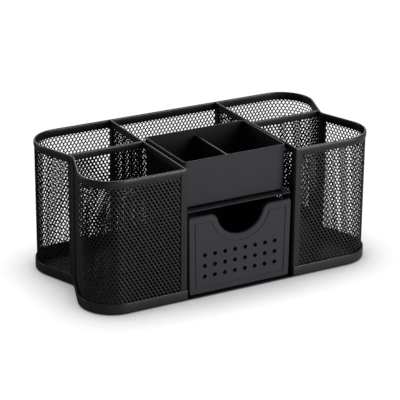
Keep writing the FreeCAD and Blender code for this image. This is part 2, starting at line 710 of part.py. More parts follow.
def add_drawer_front_outline(sketch, inset):
    """The outline of the drawer front, moved inwards by inset.

    The top edge has a bowl-shaped finger notch in the middle: one arc, and one smaller arc
    on each side that rounds it into the top edge.
    """
    top_half = f"(dim.drawer_front_width / 2 - {inset})"
    foot_half = f"(dim.drawer_front_width / 2 - dim.drawer_front_taper - {inset})"
    z_foot = f"({DRAWER_BOTTOM} + {inset})"
    z_top = f"({DRAWER_SHOULDER} - {inset})"
    shoulder_r = f"(dim.notch_shoulder_radius - {inset})"
    shoulder_z = f"({DRAWER_SHOULDER} - dim.notch_shoulder_radius)"
    sheet_bowl_r = ("((dim.notch_half_width ^ 2 + dim.notch_drop ^ 2) / (2 * dim.notch_drop)"
                    " - dim.notch_shoulder_radius)")
    bowl_r = f"({sheet_bowl_r} + {inset})"
    bowl_z = f"({DRAWER_SHOULDER} - dim.notch_drop + {sheet_bowl_r})"

    half, foot, low, high = (number(value) for value in (top_half, foot_half, z_foot, z_top))
    shoulder_x, small, small_z = (number(v) for v in ("dim.notch_half_width", shoulder_r, shoulder_z))
    large, large_z = number(bowl_r), number(bowl_z)
    lean = math.atan2(small_z - large_z, shoulder_x)
    quarter = math.pi / 2
    shapes = [
        line((-foot, low), (foot, low)),
        line((foot, low), (half, high)),
        line((half, high), (shoulder_x, high)),
        arc(shoulder_x, small_z, small, quarter, math.pi + lean),
        arc(0, large_z, large, math.pi - lean, 2 * math.pi + lean),
        arc(-shoulder_x, small_z, small, -lean, quarter),
        line((-shoulder_x, high), (-half, high)),
        line((-half, high), (-foot, low)),
    ]
    first = [sketch.addGeometry(shape, False) for shape in shapes][0]
    bottom, right, top_right, small_right, bowl, small_left, top_left, left = range(first, first + 8)
    for edge, other in ((bottom, right), (right, top_right), (top_left, left), (left, bottom)):
        sketch.addConstraint(Sketcher.Constraint("Coincident", edge, END, other, START))
    for edge, point, other, other_point in ((top_right, END, small_right, START),
                                            (small_right, END, bowl, END),
                                            (bowl, START, small_left, START),
                                            (small_left, END, top_left, START)):
        sketch.addConstraint(Sketcher.Constraint("Tangent", edge, point, other, other_point))
    place_point(sketch, bottom, START, f"-{foot_half}", z_foot)
    place_point(sketch, right, START, foot_half, z_foot)
    place_point(sketch, top_right, START, top_half, z_top)
    place_point(sketch, left, START, f"-{top_half}", z_top)
    place_point(sketch, small_right, CENTRE, "dim.notch_half_width", shoulder_z)
    place_point(sketch, small_left, CENTRE, "-dim.notch_half_width", shoulder_z)
    bind(sketch, "Radius", (small_right,), shoulder_r)
    sketch.addConstraint(Sketcher.Constraint("Equal", small_right, small_left))
    bind(sketch, "Radius", (bowl,), bowl_r)


def make_drawer():
    """A moulded drawer: a tray with a tall pierced front that has a finger notch."""
    body = new_body("drawer")
    back_of_front = f"({DRAWER_FACE} - dim.drawer_front_thickness)"

    front = new_sketch(body, "XZ_Plane", back_of_front)
    add_drawer_front_outline(front, "0")
    pad(body, front, "dim.drawer_front_thickness")

    def is_front_corner(edge):
        box = edge.BoundBox
        return same(box.YLength, "dim.drawer_front_thickness") and abs(box.XMax) > number(
            "dim.notch_half_width + dim.drawer_front_corner")

    fillet(body, "dim.drawer_front_corner", is_front_corner)
    chamfer(body, "dim.drawer_edge", lambda edge: same(edge.BoundBox.YMax, f"-{DRAWER_FACE}"))

    half_tray = "(dim.tray_width / 2)"
    tray_back = f"({BAY_BACK_FRONT} - dim.drawer_back_clearance)"
    tray = new_sketch(body, "XY_Plane", DRAWER_BOTTOM)
    add_rectangle(tray, f"-{half_tray}", half_tray, f"-{back_of_front}", tray_back)
    pad(body, tray, "dim.tray_height")
    fillet(body, "dim.tray_corner_radius",
           lambda edge: is_upright(edge) and same(edge.BoundBox.YMax, tray_back))

    inside = new_sketch(body, "XY_Plane", f"{DRAWER_BOTTOM} + dim.tray_floor")
    add_rectangle(inside, f"-({half_tray} - dim.tray_wall)", f"{half_tray} - dim.tray_wall",
                  f"-{back_of_front}", f"{tray_back} - dim.tray_wall")
    pocket(body, inside, "dim.tray_height", along_normal=True)
    fillet(body, "dim.tray_corner_radius - dim.tray_wall",
           lambda edge: is_upright(edge) and same(edge.BoundBox.YMax, f"{tray_back} - dim.tray_wall"))

    groove = new_sketch(body, "XZ_Plane", DRAWER_FACE)
    add_drawer_front_outline(groove, "dim.groove_inset")
    add_drawer_front_outline(groove, "(dim.groove_inset + dim.groove_width)")
    pocket(body, groove, "dim.groove_depth")

    hole_sketch = new_sketch(body, "XZ_Plane", DRAWER_FACE)
    x = "-dim.hole_pitch * (dim.hole_columns - 1) / 2"
    z = f"{DRAWER_BOTTOM} + dim.hole_row_height"
    circle = Part.Circle(FreeCAD.Vector(number(x), number(z), 0), FreeCAD.Vector(0, 0, 1),
                         number("dim.hole_diameter") / 2)
    edge = hole_sketch.addGeometry(circle, False)
    place_point(hole_sketch, edge, CENTRE, x, z)
    bind(hole_sketch, "Radius", (edge,), "dim.hole_diameter / 2")
    repeat(body, pocket(body, hole_sketch, "dim.drawer_front_thickness"), hole_sketch,
           ("H_Axis", "dim.hole_columns", "dim.hole_pitch"),
           ("V_Axis", "dim.hole_rows", "dim.hole_pitch"))
    return body


# ---------------------------------------------------------------- whole part


def make_all():
    bodies = [make_base_pan(), *make_feet(), make_rear_wall_mesh(), make_top_rim()]
    for name, side in SIDES:
        bodies.append(make_front_wall_mesh(name, side))
        bodies.append(make_front_post(name, side))
        bodies.append(make_joining_strip(name, side))
        bodies.extend(make_cross_divider(name, side))
        bodies.extend(make_side_divider(name, side))
    bodies.extend([make_shelf(), make_bay_back(), make_upper_box(), make_drawer()])
    return bodies


def check(bodies):
    """Stops if any object failed to build or a piece isn't one sound solid."""
    for item in document.Objects:
        if "Invalid" in item.State or "Error" in item.State:
            raise RuntimeError(f"{item.Name} did not build: {item.State}")
    for body in bodies:
        shape = body.Shape
        if shape.isNull() or not shape.isValid():
            raise RuntimeError(f"{body.Label} has no sound shape")
        if len(shape.Solids) != 1:
            raise RuntimeError(f"{body.Label} has {len(shape.Solids)} solids")


def write(bodies):
    os.makedirs("parts", exist_ok=True)
    for body in bodies:
        body.Shape.exportStep(f"parts/{body.Label}.step")
        print(f"{body.Label:28s} {body.Shape.Volume:10.1f} mm3")


bodies = make_all()
document.recompute()
check(bodies)
write(bodies)
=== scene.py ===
"""Desk organizer in black expanded steel mesh, with a moulded drawer and a moulded box.

Lengths are in metres, +Z is up, the front faces -Y, and the origin lies on the table under
the middle of the base.
"""

import logging
import math
from abc import ABC, abstractmethod
from collections.abc import Callable, Iterator, Mapping, Sequence
from contextlib import contextmanager
from dataclasses import dataclass, field
from enum import Enum
from functools import cached_property

import bpy
from mathutils import Matrix, Vector


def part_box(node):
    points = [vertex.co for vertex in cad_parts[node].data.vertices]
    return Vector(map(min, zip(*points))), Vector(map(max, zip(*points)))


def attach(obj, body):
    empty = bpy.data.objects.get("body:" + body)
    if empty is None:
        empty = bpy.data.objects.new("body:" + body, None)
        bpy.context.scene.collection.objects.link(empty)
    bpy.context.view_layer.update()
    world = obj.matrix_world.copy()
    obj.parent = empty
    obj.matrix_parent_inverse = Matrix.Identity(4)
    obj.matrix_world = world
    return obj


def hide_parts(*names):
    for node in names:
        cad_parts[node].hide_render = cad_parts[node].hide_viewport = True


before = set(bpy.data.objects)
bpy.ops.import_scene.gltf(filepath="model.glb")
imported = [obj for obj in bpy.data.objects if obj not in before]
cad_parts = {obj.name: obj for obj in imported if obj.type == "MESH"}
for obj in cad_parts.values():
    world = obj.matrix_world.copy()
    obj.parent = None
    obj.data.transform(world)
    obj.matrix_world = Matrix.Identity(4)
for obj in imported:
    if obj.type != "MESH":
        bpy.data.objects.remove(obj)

Piece = bpy.types.Object
Tree = bpy.types.NodeTree
Socket = bpy.types.NodeSocket
Point = tuple[float, float, float]

LOG = logging.getLogger("desk_organizer")
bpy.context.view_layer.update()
STAND = "stand"
MM = 0.001
TOUCH = 1e-7  # A cut takes in the vertices that lie this near to it.
SAME = 1e-6  # Places nearer to each other than this are one place.
CLEAR = 1e-5  # Places further from each other than this are two places.
DIGITS = 7  # Lengths that agree to this many digits after the point are one length.
SMOOTH_BELOW = math.radians(35.0)  # Edges that turn by less than this are shaded smooth.


class Element(Enum):
    """The kind of mesh element that an edit works on."""

    VERTEX = (True, False, False)
    EDGE = (False, True, False)
    FACE = (False, False, True)


class Side(Enum):
    """The two mirrored halves of the organizer; the value is the sign of x."""

    LEFT = -1
    RIGHT = 1

    @property
    def label(self) -> str:
        """Lower-case name, as used in the names of pieces."""
        return self.name.lower()


# ---- workbench


def take(obj: Piece) -> None:
    """Selects one object alone and makes it the active one.

    Args:
        obj: The object to work on.
    """
    bpy.ops.object.select_all(action="DESELECT")
    obj.select_set(True)
    bpy.context.view_layer.objects.active = obj


def add_piece(name: str, primitive: Callable[..., object], scale: Sequence[float] = (1.0, 1.0, 1.0),
              **settings: object) -> Piece:
    """Adds a primitive with its place, turn and size in its mesh.

    Args:
        name: The object's name.
        primitive: The operator that adds it.
        scale: Its scale along its own axes.
        settings: What else the operator is given.

    Returns:
        The new object.
    """
    bpy.ops.object.select_all(action="DESELECT")
    primitive(**settings)
    obj = bpy.context.object
    obj.name = name
    obj.scale = scale
    bpy.ops.object.transform_apply(location=True, rotation=True, scale=True)
    return obj


def block(name: str, size: Sequence[float], centre: Sequence[float]) -> Piece:
    """Adds a block of a size round a centre."""
    return add_piece(name, bpy.ops.mesh.primitive_cube_add, size, size=1.0, location=centre)


def plate(name: str, depth: float, height: float) -> Piece:
    """Adds an upright plate across X, centred on Y = 0, hanging down from Z = 0."""
    return add_piece(name, bpy.ops.mesh.primitive_plane_add, (height, depth, 1.0), size=1.0,
                     location=(0, 0, -height / 2), rotation=(0, math.pi / 2, 0))


@contextmanager
def editing(obj: Piece, element: Element = Element.FACE,
            chosen: Callable[[object], bool] | None = None) -> Iterator[None]:
    """Enters edit mode on an object with some of its elements selected.

    Args:
        obj: The mesh object to edit.
        element: The kind of element to select.
        chosen: Says which elements are selected; all of them if it is None.

    Yields:
        None, while the object is in edit mode.
    """
    take(obj)
    bpy.context.tool_settings.mesh_select_mode = element.value
    mesh = obj.data
    for kind, items in zip(Element, (mesh.vertices, mesh.edges, mesh.polygons)):
        picks = [False] * len(items)
        if chosen and kind is element:
            picks = [bool(chosen(item)) for item in items]
        items.foreach_set("select", picks)
    bpy.ops.object.mode_set(mode="EDIT")
    if chosen is None:
        bpy.ops.mesh.select_all(action="SELECT")
    yield
    bpy.ops.object.mode_set(mode="OBJECT")


def cut(obj: Piece, point: Sequence[float], normal: Sequence[float], *,
        drop_front: bool = False, drop_back: bool = False, fill: bool = False) -> None:
    """Cuts an object along a plane and may drop one side of it.

    Args:
        obj: The object to cut.
        point: A point of the plane.
        normal: The plane's normal.
        drop_front: Drops what lies on the side that the normal points to.
        drop_back: Drops what lies on the other side.
        fill: Closes the cut.
    """
    with editing(obj):
        bpy.ops.mesh.bisect(plane_co=point, plane_no=normal, use_fill=fill,
                            clear_outer=drop_front, clear_inner=drop_back, threshold=TOUCH)


def divide(obj: Piece, stations: Sequence[float]) -> None:
    """Adds cross cuts to a bar along X, so that it can follow a curve."""
    for station in stations:
        cut(obj, (station, 0, 0), (1, 0, 0))


def pull(obj: Piece, length: float) -> None:
    """Extrudes a plate along X into a bar."""
    with editing(obj):
        bpy.ops.mesh.extrude_region_move(TRANSFORM_OT_translate={"value": (length, 0, 0)})


def apply_modifiers(obj: Piece) -> None:
    """Applies the modifiers of an object, first to last.

    Args:
        obj: The object.
    """
    take(obj)
    for modifier in list(obj.modifiers):
        bpy.ops.object.modifier_apply(modifier=modifier.name)


def is_inside_out(obj: Piece) -> bool:
    """Says whether the faces of a closed object point inwards, by the sign of its volume.

    Args:
        obj: The object.

    Returns:
        True if they do.
    """
    mesh = obj.data
    mesh.calc_loop_triangles()
    triangles = ([mesh.vertices[index].co for index in triangle.vertices]
                 for triangle in mesh.loop_triangles)
    return sum(first.dot(second.cross(third)) for first, second, third in triangles) < 0


def tidy(obj: Piece) -> None:
    """Merges double vertices and turns all faces outwards.

    Args:
        obj: The object to tidy.
    """
    with editing(obj, Element.VERTEX):
        bpy.ops.mesh.remove_doubles(threshold=SAME)
        bpy.ops.mesh.select_all(action="SELECT")
        bpy.ops.mesh.normals_make_consistent(inside=False)
    if is_inside_out(obj):
        with editing(obj):
            bpy.ops.mesh.flip_normals()


def smooth(obj: Piece) -> None:
    """Smooths the shading across edges that turn by less than an angle."""
    take(obj)
    bpy.ops.object.shade_smooth_by_angle(angle=SMOOTH_BELOW)


def join(name: str, parts: Sequence[Piece]) -> Piece:
    """Joins several objects into one.

    Args:
        name: The name of the joined object.
        parts: The objects to join.

    Returns:
        The joined object.
    """
    joined = parts[0]
    take(joined)
    for part in parts[1:]:
        part.select_set(True)
    bpy.ops.object.join()
    joined.name = joined.data.name = name
    return joined


@dataclass(frozen=True)
class Rounding:
    """A rounded edge or corner.

    Attributes:
        size: How far it reaches from the edge.
        steps: How many flat steps it has.
    """

    size: float
    steps: int

    def apply(self, affect: str = "VERTICES") -> None:
        """Rounds what is selected in edit mode."""
        bpy.ops.mesh.bevel(offset=self.size, segments=self.steps, affect=affect)


# ---- courses


class Course(ABC):
    """A line in plan that a sheet or a strip follows."""

    @abstractmethod
    def at(self, along: float) -> tuple[Vector, Vector]:
        """Finds a place on the line.

        Args:
            along: Distance along the line.

        Returns:
            The point in plan and the normal to the line's right.
        """

    def place(self, along: float, outwards: float, height: float) -> Vector:
        """Gives the point at a distance along the line, out of it to its right, and up."""
        point, out = self.at(along)
        return Vector((*(point + out * outwards), height))

    def wrap(self, obj: Piece, start: float, base: float) -> Piece:
        """Lays a flat object along the line: its X runs along, its Y outwards, its Z up.

        Args:
            obj: The flat object.
            start: Where its X = 0 lies along the line.
            base: The height of its Z = 0.

        Returns:
            The same object.
        """
        for vertex in obj.data.vertices:
            along, outwards, height = vertex.co
            vertex.co = self.place(start + along, outwards, base + height)
        tidy(obj)
        return obj


@dataclass(frozen=True)
class StraightCourse(Course):
    """A straight line in plan.

    Attributes:
        start: Plan position where the line starts.
        end: Plan position where it ends.
    """

    start: tuple[float, float]
    end: tuple[float, float]

    @cached_property
    def length(self) -> float:
        """Length of the line."""
        return math.dist(self.start, self.end)

    def at(self, along: float) -> tuple[Vector, Vector]:
        """Finds a place on the line, as Course.at says."""
        heading = (Vector(self.end) - Vector(self.start)).normalized()
        return Vector(self.start) + heading * along, Vector((heading.y, -heading.x))


@dataclass(frozen=True)
class WallCourse(Course):
    """The plan of the walls, on the middle of the mesh, anticlockwise from the right notch.

    Attributes:
        length: End wall to end wall at the widest place.
        depth: Front wall to rear wall.
        corner_radius: Radius of the four corners.
        notch_depth: How far the notch in each end goes in.
        notch_radius: Radius of the bottom of the notch.
        corner_steps: Into how many straight steps a corner is divided.
        notch_steps: Into how many half the bottom of a notch is divided.
    """

    length: float = 236.0 * MM
    depth: float = 122.4 * MM
    corner_radius: float = 24.0 * MM
    notch_depth: float = 11.3 * MM
    notch_radius: float = 9.0 * MM
    corner_steps: int = 22
    notch_steps: int = 4

    @cached_property
    def corner(self) -> Vector:
        """Centre of the rear right corner."""
        return Vector((self.length / 2 - self.corner_radius, self.depth / 2 - self.corner_radius))

    @cached_property
    def notch(self) -> Vector:
        """Centre of the arc at the bottom of the right notch."""
        return Vector((self.length / 2 - self.notch_depth + self.notch_radius, 0.0))

    @cached_property
    def flank(self) -> float:
        """Direction of the outward normal of the straight flank behind the right notch."""
        gap, radii = self.notch - self.corner, self.corner_radius + self.notch_radius
        return math.atan2(gap.y, gap.x) + math.acos(radii / gap.length)

    @cached_property
    def runs(self) -> tuple[float, float, float, float]:
        """Measures the four runs of a quarter of the line.

        Returns:
            The lengths of its notch arc, flank, corner arc and straight.
        """
        out = self._heading(self.flank)
        flank = (self.corner + out * self.corner_radius) - (self.notch - out * self.notch_radius)
        corner_run = self.corner_radius * (math.pi / 2 - self.flank)
        return self.notch_radius * -self.flank, flank.length, corner_run, self.corner.x

    @staticmethod
    def _heading(angle: float) -> Vector:
        """Unit vector in plan at an angle from +X."""
        return Vector((math.cos(angle), math.sin(angle)))

    @cached_property
    def quarter(self) -> float:
        """Length of a quarter of the line."""
        return sum(self.runs)

    @cached_property
    def front_middle(self) -> float:
        """Distance along the line to the middle of the front wall."""
        return 3 * self.quarter

    def _quarter_at(self, along: float) -> tuple[Vector, Vector]:
        """Finds a place between the right notch and the middle of the rear wall.

        Args:
            along: Distance from the notch.

        Returns:
            The point in plan and the outward normal there.
        """
        notch_run, flank_run, corner_run, _ = self.runs
        if along < notch_run:
            out = self._heading(-along / self.notch_radius)
            return self.notch - out * self.notch_radius, out
        out = self._heading(self.flank)
        if along < notch_run + flank_run:
            heading = Vector((-out.y, out.x))
            return self.notch - out * self.notch_radius + heading * (along - notch_run), out
        along -= notch_run + flank_run
        if along < corner_run:
            out = self._heading(self.flank + along / self.corner_radius)
            return self.corner + out * self.corner_radius, out
        return Vector((self.corner.x - (along - corner_run), self.depth / 2)), Vector((0.0, 1.0))

    def at(self, along: float) -> tuple[Vector, Vector]:
        """Finds a place on the line.

        Args:
            along: Distance along the line.

        Returns:
            The point in plan and the outward normal there.
        """
        index, rest = divmod(along % (4 * self.quarter), self.quarter)
        x_sign = -1 if index in (1, 2) else 1
        y_sign = -1 if index in (2, 3) else 1
        point, out = (Vector((plan.x * x_sign, plan.y * y_sign)) for plan in
                      self._quarter_at(rest if index in (0, 2) else self.quarter - rest))
        return point, out

    def stations(self, start: float, end: float) -> list[float]:
        """Lists where a bar has to bend to follow part of the line.

        Args:
            start: Where the bar starts along the line.
            end: Where it ends.

        Returns:
            Distances from the bar's start.
        """
        notch_run, flank_run, corner_run, _ = self.runs
        marks = [notch_run * step / self.notch_steps for step in range(self.notch_steps + 1)]
        marks += [notch_run + flank_run + corner_run * step / self.corner_steps
                  for step in range(self.corner_steps + 1)]
        whole = sorted({
            round(index * self.quarter + (mark if index in (0, 2) else self.quarter - mark), DIGITS)
            for index in range(4) for mark in marks})
        laps = [value + turn * 4 * self.quarter for turn in range(-1, 3) for value in whole]
        return [value - start for value in laps if start + CLEAR < value < end - CLEAR]


# ---- finishes


def feed(tree: Tree, node: bpy.types.Node, inputs: Mapping[str | int, object]) -> None:
    """Links or sets some inputs of a node.

    Args:
        tree: The node tree that it is in.
        node: The node.
        inputs: The socket or the value for each input, by the input's name or number.
    """
    for key, value in inputs.items():
        if isinstance(value, Socket):
            tree.links.new(value, node.inputs[key])
        else:
            node.inputs[key].default_value = value


def add_node(tree: Tree, kind: str, inputs: Mapping[str | int, object] | None = None,
             **settings: object) -> bpy.types.Node:
    """Adds a node.

    Args:
        tree: The node tree to add it to.
        kind: The node's type.
        inputs: What its inputs take, as feed says.
        settings: Its own properties.

    Returns:
        The node.
    """
    node = tree.nodes.new(kind)
    for name, value in settings.items():
        setattr(node, name, value)
    feed(tree, node, inputs or {})
    return node


def add_math(tree: Tree, operation: str, *values: object) -> Socket:
    """Adds a Math node for sockets or numbers and gives its output."""
    return add_node(tree, "ShaderNodeMath", dict(enumerate(values)), operation=operation).outputs[0]


def grey(tone: float) -> tuple[float, float, float, float]:
    """A grey as an opaque colour."""
    return tone, tone, tone, 1.0


def add_mix(tree: Tree, factor: Socket, first: object, second: object) -> Socket:
    """Adds a node that mixes two sockets' or plain colours and gives its output."""
    return add_node(tree, "ShaderNodeMix", {"Factor": factor, "A": first, "B": second},
                    data_type="RGBA").outputs["Result"]


def add_scaled(tree: Tree, color: Socket, share: Socket) -> Socket:
    """Adds a node that multiplies a colour by a number and gives its output."""
    return add_node(tree, "ShaderNodeVectorMath", {0: color, "Scale": share},
                    operation="SCALE").outputs["Vector"]


@dataclass(frozen=True)
class Effect:
    """A shader node group, built once, that materials use with their own values.

    Attributes:
        name: The group's name.
        inputs: Its inputs and their kinds.
        outputs: Its outputs and their kinds.
        wire: What adds its nodes, given the group and its inputs, and gives its outputs.
    """

    name: str
    inputs: dict[str, str]
    outputs: dict[str, str]
    wire: Callable[[Tree, Mapping[str, Socket]], dict[str, Socket]]

    def group(self) -> Tree:
        """Builds the group the first time.

        Returns:
            The group.
        """
        tree = bpy.data.node_groups.get(self.name)
        if tree is None:
            tree = bpy.data.node_groups.new(self.name, "ShaderNodeTree")
            for way, kinds in (("INPUT", self.inputs), ("OUTPUT", self.outputs)):
                for name, kind in kinds.items():
                    tree.interface.new_socket(name=name, in_out=way,
                                              socket_type=f"NodeSocket{kind}")
            given = tree.nodes.new("NodeGroupInput").outputs
            feed(tree, tree.nodes.new("NodeGroupOutput"), self.wire(tree, given))
        return tree

    def place(self, tree: Tree, inputs: Mapping[str, object]) -> Mapping[str, Socket]:
        """Adds the effect to a material, with its values, and gives its outputs."""
        return add_node(tree, "ShaderNodeGroup", inputs, node_tree=self.group()).outputs


def wire_grain(tree: Tree, given: Mapping[str, Socket]) -> dict[str, Socket]:
    """Mixes fine and broad noise into a colour and a roughness, and adds cells for the height.

    Args:
        tree: The group.
        given: The sockets that its inputs come from.

    Returns:
        The socket for each output.
    """
    middle = 0.5
    fine_place = {"Vector": given["Vector"], "Scale": given["Scale"]}
    fine = add_node(tree, "ShaderNodeTexNoise",
                    {**fine_place, "Detail": 3.0, "Roughness": 0.6}).outputs["Fac"]
    cells = add_node(tree, "ShaderNodeTexVoronoi", fine_place, feature="SMOOTH_F1")
    broad = add_node(tree, "ShaderNodeTexNoise",
                     {"Vector": given["Vector"], "Scale": 55.0, "Detail": 4.0}).outputs["Fac"]
    mixed = add_math(tree, "ADD", add_math(tree, "SUBTRACT", broad, middle),
                     add_math(tree, "SUBTRACT", fine, middle))
    lift = add_math(tree, "ADD", add_math(tree, "MULTIPLY", mixed, given["Drift"]), 1.0)
    shine = add_math(tree, "MULTIPLY", mixed, given["Sheen"])
    return {"Color": add_scaled(tree, given["Color"], lift),
            "Roughness": add_math(tree, "ADD", shine, given["Roughness"]),
            "Height": add_math(tree, "ADD", fine, cells.outputs["Distance"])}


def wire_hollow(tree: Tree, given: Mapping[str, Socket]) -> dict[str, Socket]:
    """Darkens a colour wherever the surface lies within the middle of leaning walls, as painted
    shade on the inside of a box.

    Args:
        tree: The group.
        given: The sockets that its inputs come from.

    Returns:
        The socket for each output.
    """
    top_edge = 0.3 * MM
    offset = add_node(tree, "ShaderNodeVectorMath",
                      {0: given["Vector"], 1: given["Top Centre"]}, operation="SUBTRACT")
    axes = add_node(tree, "ShaderNodeSeparateXYZ", {0: offset.outputs["Vector"]}).outputs
    below = add_math(tree, "MULTIPLY", axes["Z"], -1.0)
    drawn_in = add_math(tree, "MULTIPLY", below, given["Lean"])
    mask = add_math(tree, "GREATER_THAN", below, top_edge)
    for axis, half in (("X", "Half Width"), ("Y", "Half Depth")):
        reach = add_math(tree, "ADD", add_math(tree, "ABSOLUTE", axes[axis]), drawn_in)
        within = add_math(tree, "LESS_THAN", reach, given[half])
        mask = add_math(tree, "MULTIPLY", mask, within)
    kept = add_math(tree, "SUBTRACT", 1.0, add_math(tree, "MULTIPLY", mask, given["Shade"]))
    return {"Color": add_scaled(tree, given["Color"], kept)}


GRAIN_EFFECT = Effect(
    "fine_grain", {"Vector": "Vector", "Color": "Color", "Scale": "Float", "Drift": "Float",
                   "Roughness": "Float", "Sheen": "Float"},
    {"Color": "Color", "Roughness": "Float", "Height": "Float"}, wire_grain)
# Painted shade: darkens the colour inside the walls of a moulded box.
INSIDE_SHADE_EFFECT = Effect(
    "painted_inside_shade", {"Vector": "Vector", "Color": "Color", "Top Centre": "Vector",
                        "Half Width": "Float", "Half Depth": "Float", "Lean": "Float",
                        "Shade": "Float"},
    {"Color": "Color"}, wire_hollow)


@dataclass(frozen=True)
class PaintedInsideShade:
    """Painted shade on the inside of a moulded box, which darkens its colour there.

    Attributes:
        node: The CAD node that the box is.
        wall: Thickness of its walls.
        lean: Slope of its walls.
        shade: Share of the colour that the painted shade takes away.
    """

    node: str
    wall: float
    lean: float
    shade: float

    def link(self, tree: Tree, vector: Socket, color: Socket) -> Socket:
        """Adds the effect to a material.

        Args:
            tree: The material's node tree.
            vector: The socket of the Object coordinates.
            color: The socket of the colour.

        Returns:
            The socket of the new colour.
        """
        low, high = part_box(self.node)
        return INSIDE_SHADE_EFFECT.place(tree, {
            "Vector": vector,
            "Color": color,
            "Top Centre": ((low.x + high.x) / 2, (low.y + high.y) / 2, high.z),
            "Half Width": (high.x - low.x - self.wall) / 2,
            "Half Depth": (high.y - low.y - self.wall) / 2,
            "Lean": self.lean,
            "Shade": self.shade,
        })["Color"]


@dataclass(frozen=True)
class Grain:
    """Numbers that set one use of the fine grain.

    Attributes:
        scale: Grains per metre.
        drift: How far the colour drifts from place to place, as a share.
        sheen: How far the roughness drifts.
        depth: Height of the grain.
        strength: Strength of the bump.
    """

    scale: float
    drift: float
    sheen: float
    depth: float
    strength: float


@dataclass(frozen=True)
class Finish:
    """A surface finish: a Principled surface with the fine grain.

    Attributes:
        name: The material's name.
        slot: The record's material slot that it belongs to; not used by the script.
        color: Linear base colour.
        roughness: Mean roughness.
        specular: Specular level, where 0.5 is an ordinary paint.
        grain: The numbers of the fine grain.
        inside: The painted shade inside a hollow piece, where it has one.
    """

    name: str
    slot: str
    color: Point
    roughness: float
    specular: float
    grain: Grain
    inside: PaintedInsideShade | None = None

    def material(self) -> bpy.types.Material:
        """Builds the material the first time.

        Returns:
            The material.
        """
        material = bpy.data.materials.get(self.name)
        if material:
            return material
        material = bpy.data.materials.new(self.name)
        material.use_nodes = True
        tree = material.node_tree
        place = add_node(tree, "ShaderNodeTexCoord").outputs["Object"]
        effect = GRAIN_EFFECT.place(tree, {
            "Vector": place,
            "Color": (*self.color, 1.0),
            "Scale": self.grain.scale,
            "Drift": self.grain.drift,
            "Roughness": self.roughness,
            "Sheen": self.grain.sheen,
        })
        bump = add_node(tree, "ShaderNodeBump", {
            "Strength": self.grain.strength,
            "Distance": self.grain.depth,
            "Height": effect["Height"],
        })
        color = effect["Color"]
        feed(tree, tree.nodes["Principled BSDF"], {
            # Painted shade of a hollow piece's inside darkens the base colour here.
            "Base Color": self.inside.link(tree, place, color) if self.inside else color,
            "Roughness": effect["Roughness"],
            "Specular IOR Level": self.specular,
            "Normal": bump.outputs["Normal"],
        })
        return material

    def dress(self, obj: Piece) -> None:
        """Gives a new piece or a CAD node this finish alone."""
        obj.data.materials.clear()
        obj.data.materials.append(self.material())


STRIP_GRAIN = Grain(scale=2400.0, drift=0.25, sheen=0.12, depth=0.03 * MM, strength=0.35)
MESH_GRAIN = Grain(scale=2400.0, drift=0.25, sheen=0.12, depth=0.03 * MM, strength=0.30)
SHELF_GRAIN = Grain(scale=2400.0, drift=0.25, sheen=0.10, depth=0.02 * MM, strength=0.25)
PLASTIC_GRAIN = Grain(scale=4500.0, drift=0.10, sheen=0.08, depth=0.02 * MM, strength=0.30)
FOAM_GRAIN = Grain(scale=1600.0, drift=0.35, sheen=0.05, depth=0.1 * MM, strength=0.8)

STRIP_COAT = Finish("satin_black_powder_coat_on_strip", "strip_coat",
                    (0.015, 0.015, 0.019), 0.30, 0.85, STRIP_GRAIN)
# Painted shade: a darker, less shiny copy of the strips' coat for the pan's floor, which lies in
# the shade of the walls.
PAN_FLOOR_SHADE_COAT = Finish("satin_black_powder_coat_on_pan_floor", "strip_coat",
                    (0.004, 0.004, 0.005), 0.45, 0.2, STRIP_GRAIN)
# Painted shade: a darker, less specular copy of the strips' coat for the shelf, which lies in the
# shade under the box.
SHELF_SHADE_COAT = Finish("satin_black_powder_coat_on_shelf", "strip_coat",
                    (0.008, 0.008, 0.009), 0.26, 0.5, SHELF_GRAIN)
MESH_COAT = Finish("satin_black_powder_coat_on_mesh", "mesh_coat",
                   (0.013, 0.013, 0.014), 0.33, 0.62, MESH_GRAIN)
# Painted shade: a darker, less shiny copy of the mesh coat for the rear wall, whose inside lies in
# shade.
REAR_MESH_SHADE_COAT = Finish("satin_black_powder_coat_on_rear_mesh", "mesh_coat",
                        (0.009, 0.009, 0.010), 0.34, 0.55, MESH_GRAIN)
# Painted shade: a much darker, less shiny copy of the mesh coat for the dividers and the bay's
# back, which stand in shade inside.
INNER_MESH_SHADE_COAT = Finish("satin_black_powder_coat_on_inner_mesh", "mesh_coat",
                         (0.004, 0.004, 0.005), 0.36, 0.25, MESH_GRAIN)
DRAWER_PLASTIC = Finish("satin_charcoal_plastic_of_drawer", "drawer_plastic",
                        (0.046, 0.044, 0.057), 0.42, 0.5, PLASTIC_GRAIN)
# Painted shade: this finish darkens the colour of the box inside its walls.
BOX_PLASTIC = Finish("satin_charcoal_plastic_of_box", "box_plastic",
                     (0.038, 0.039, 0.050), 0.42, 0.5, PLASTIC_GRAIN,
                     PaintedInsideShade("upper_box", wall=1.5 * MM, lean=0.0244, shade=0.68))
FOAM = Finish("black_foam_pad", "foam", (0.020, 0.020, 0.020), 0.9, 0.2, FOAM_GRAIN)


# ---- sheet goods


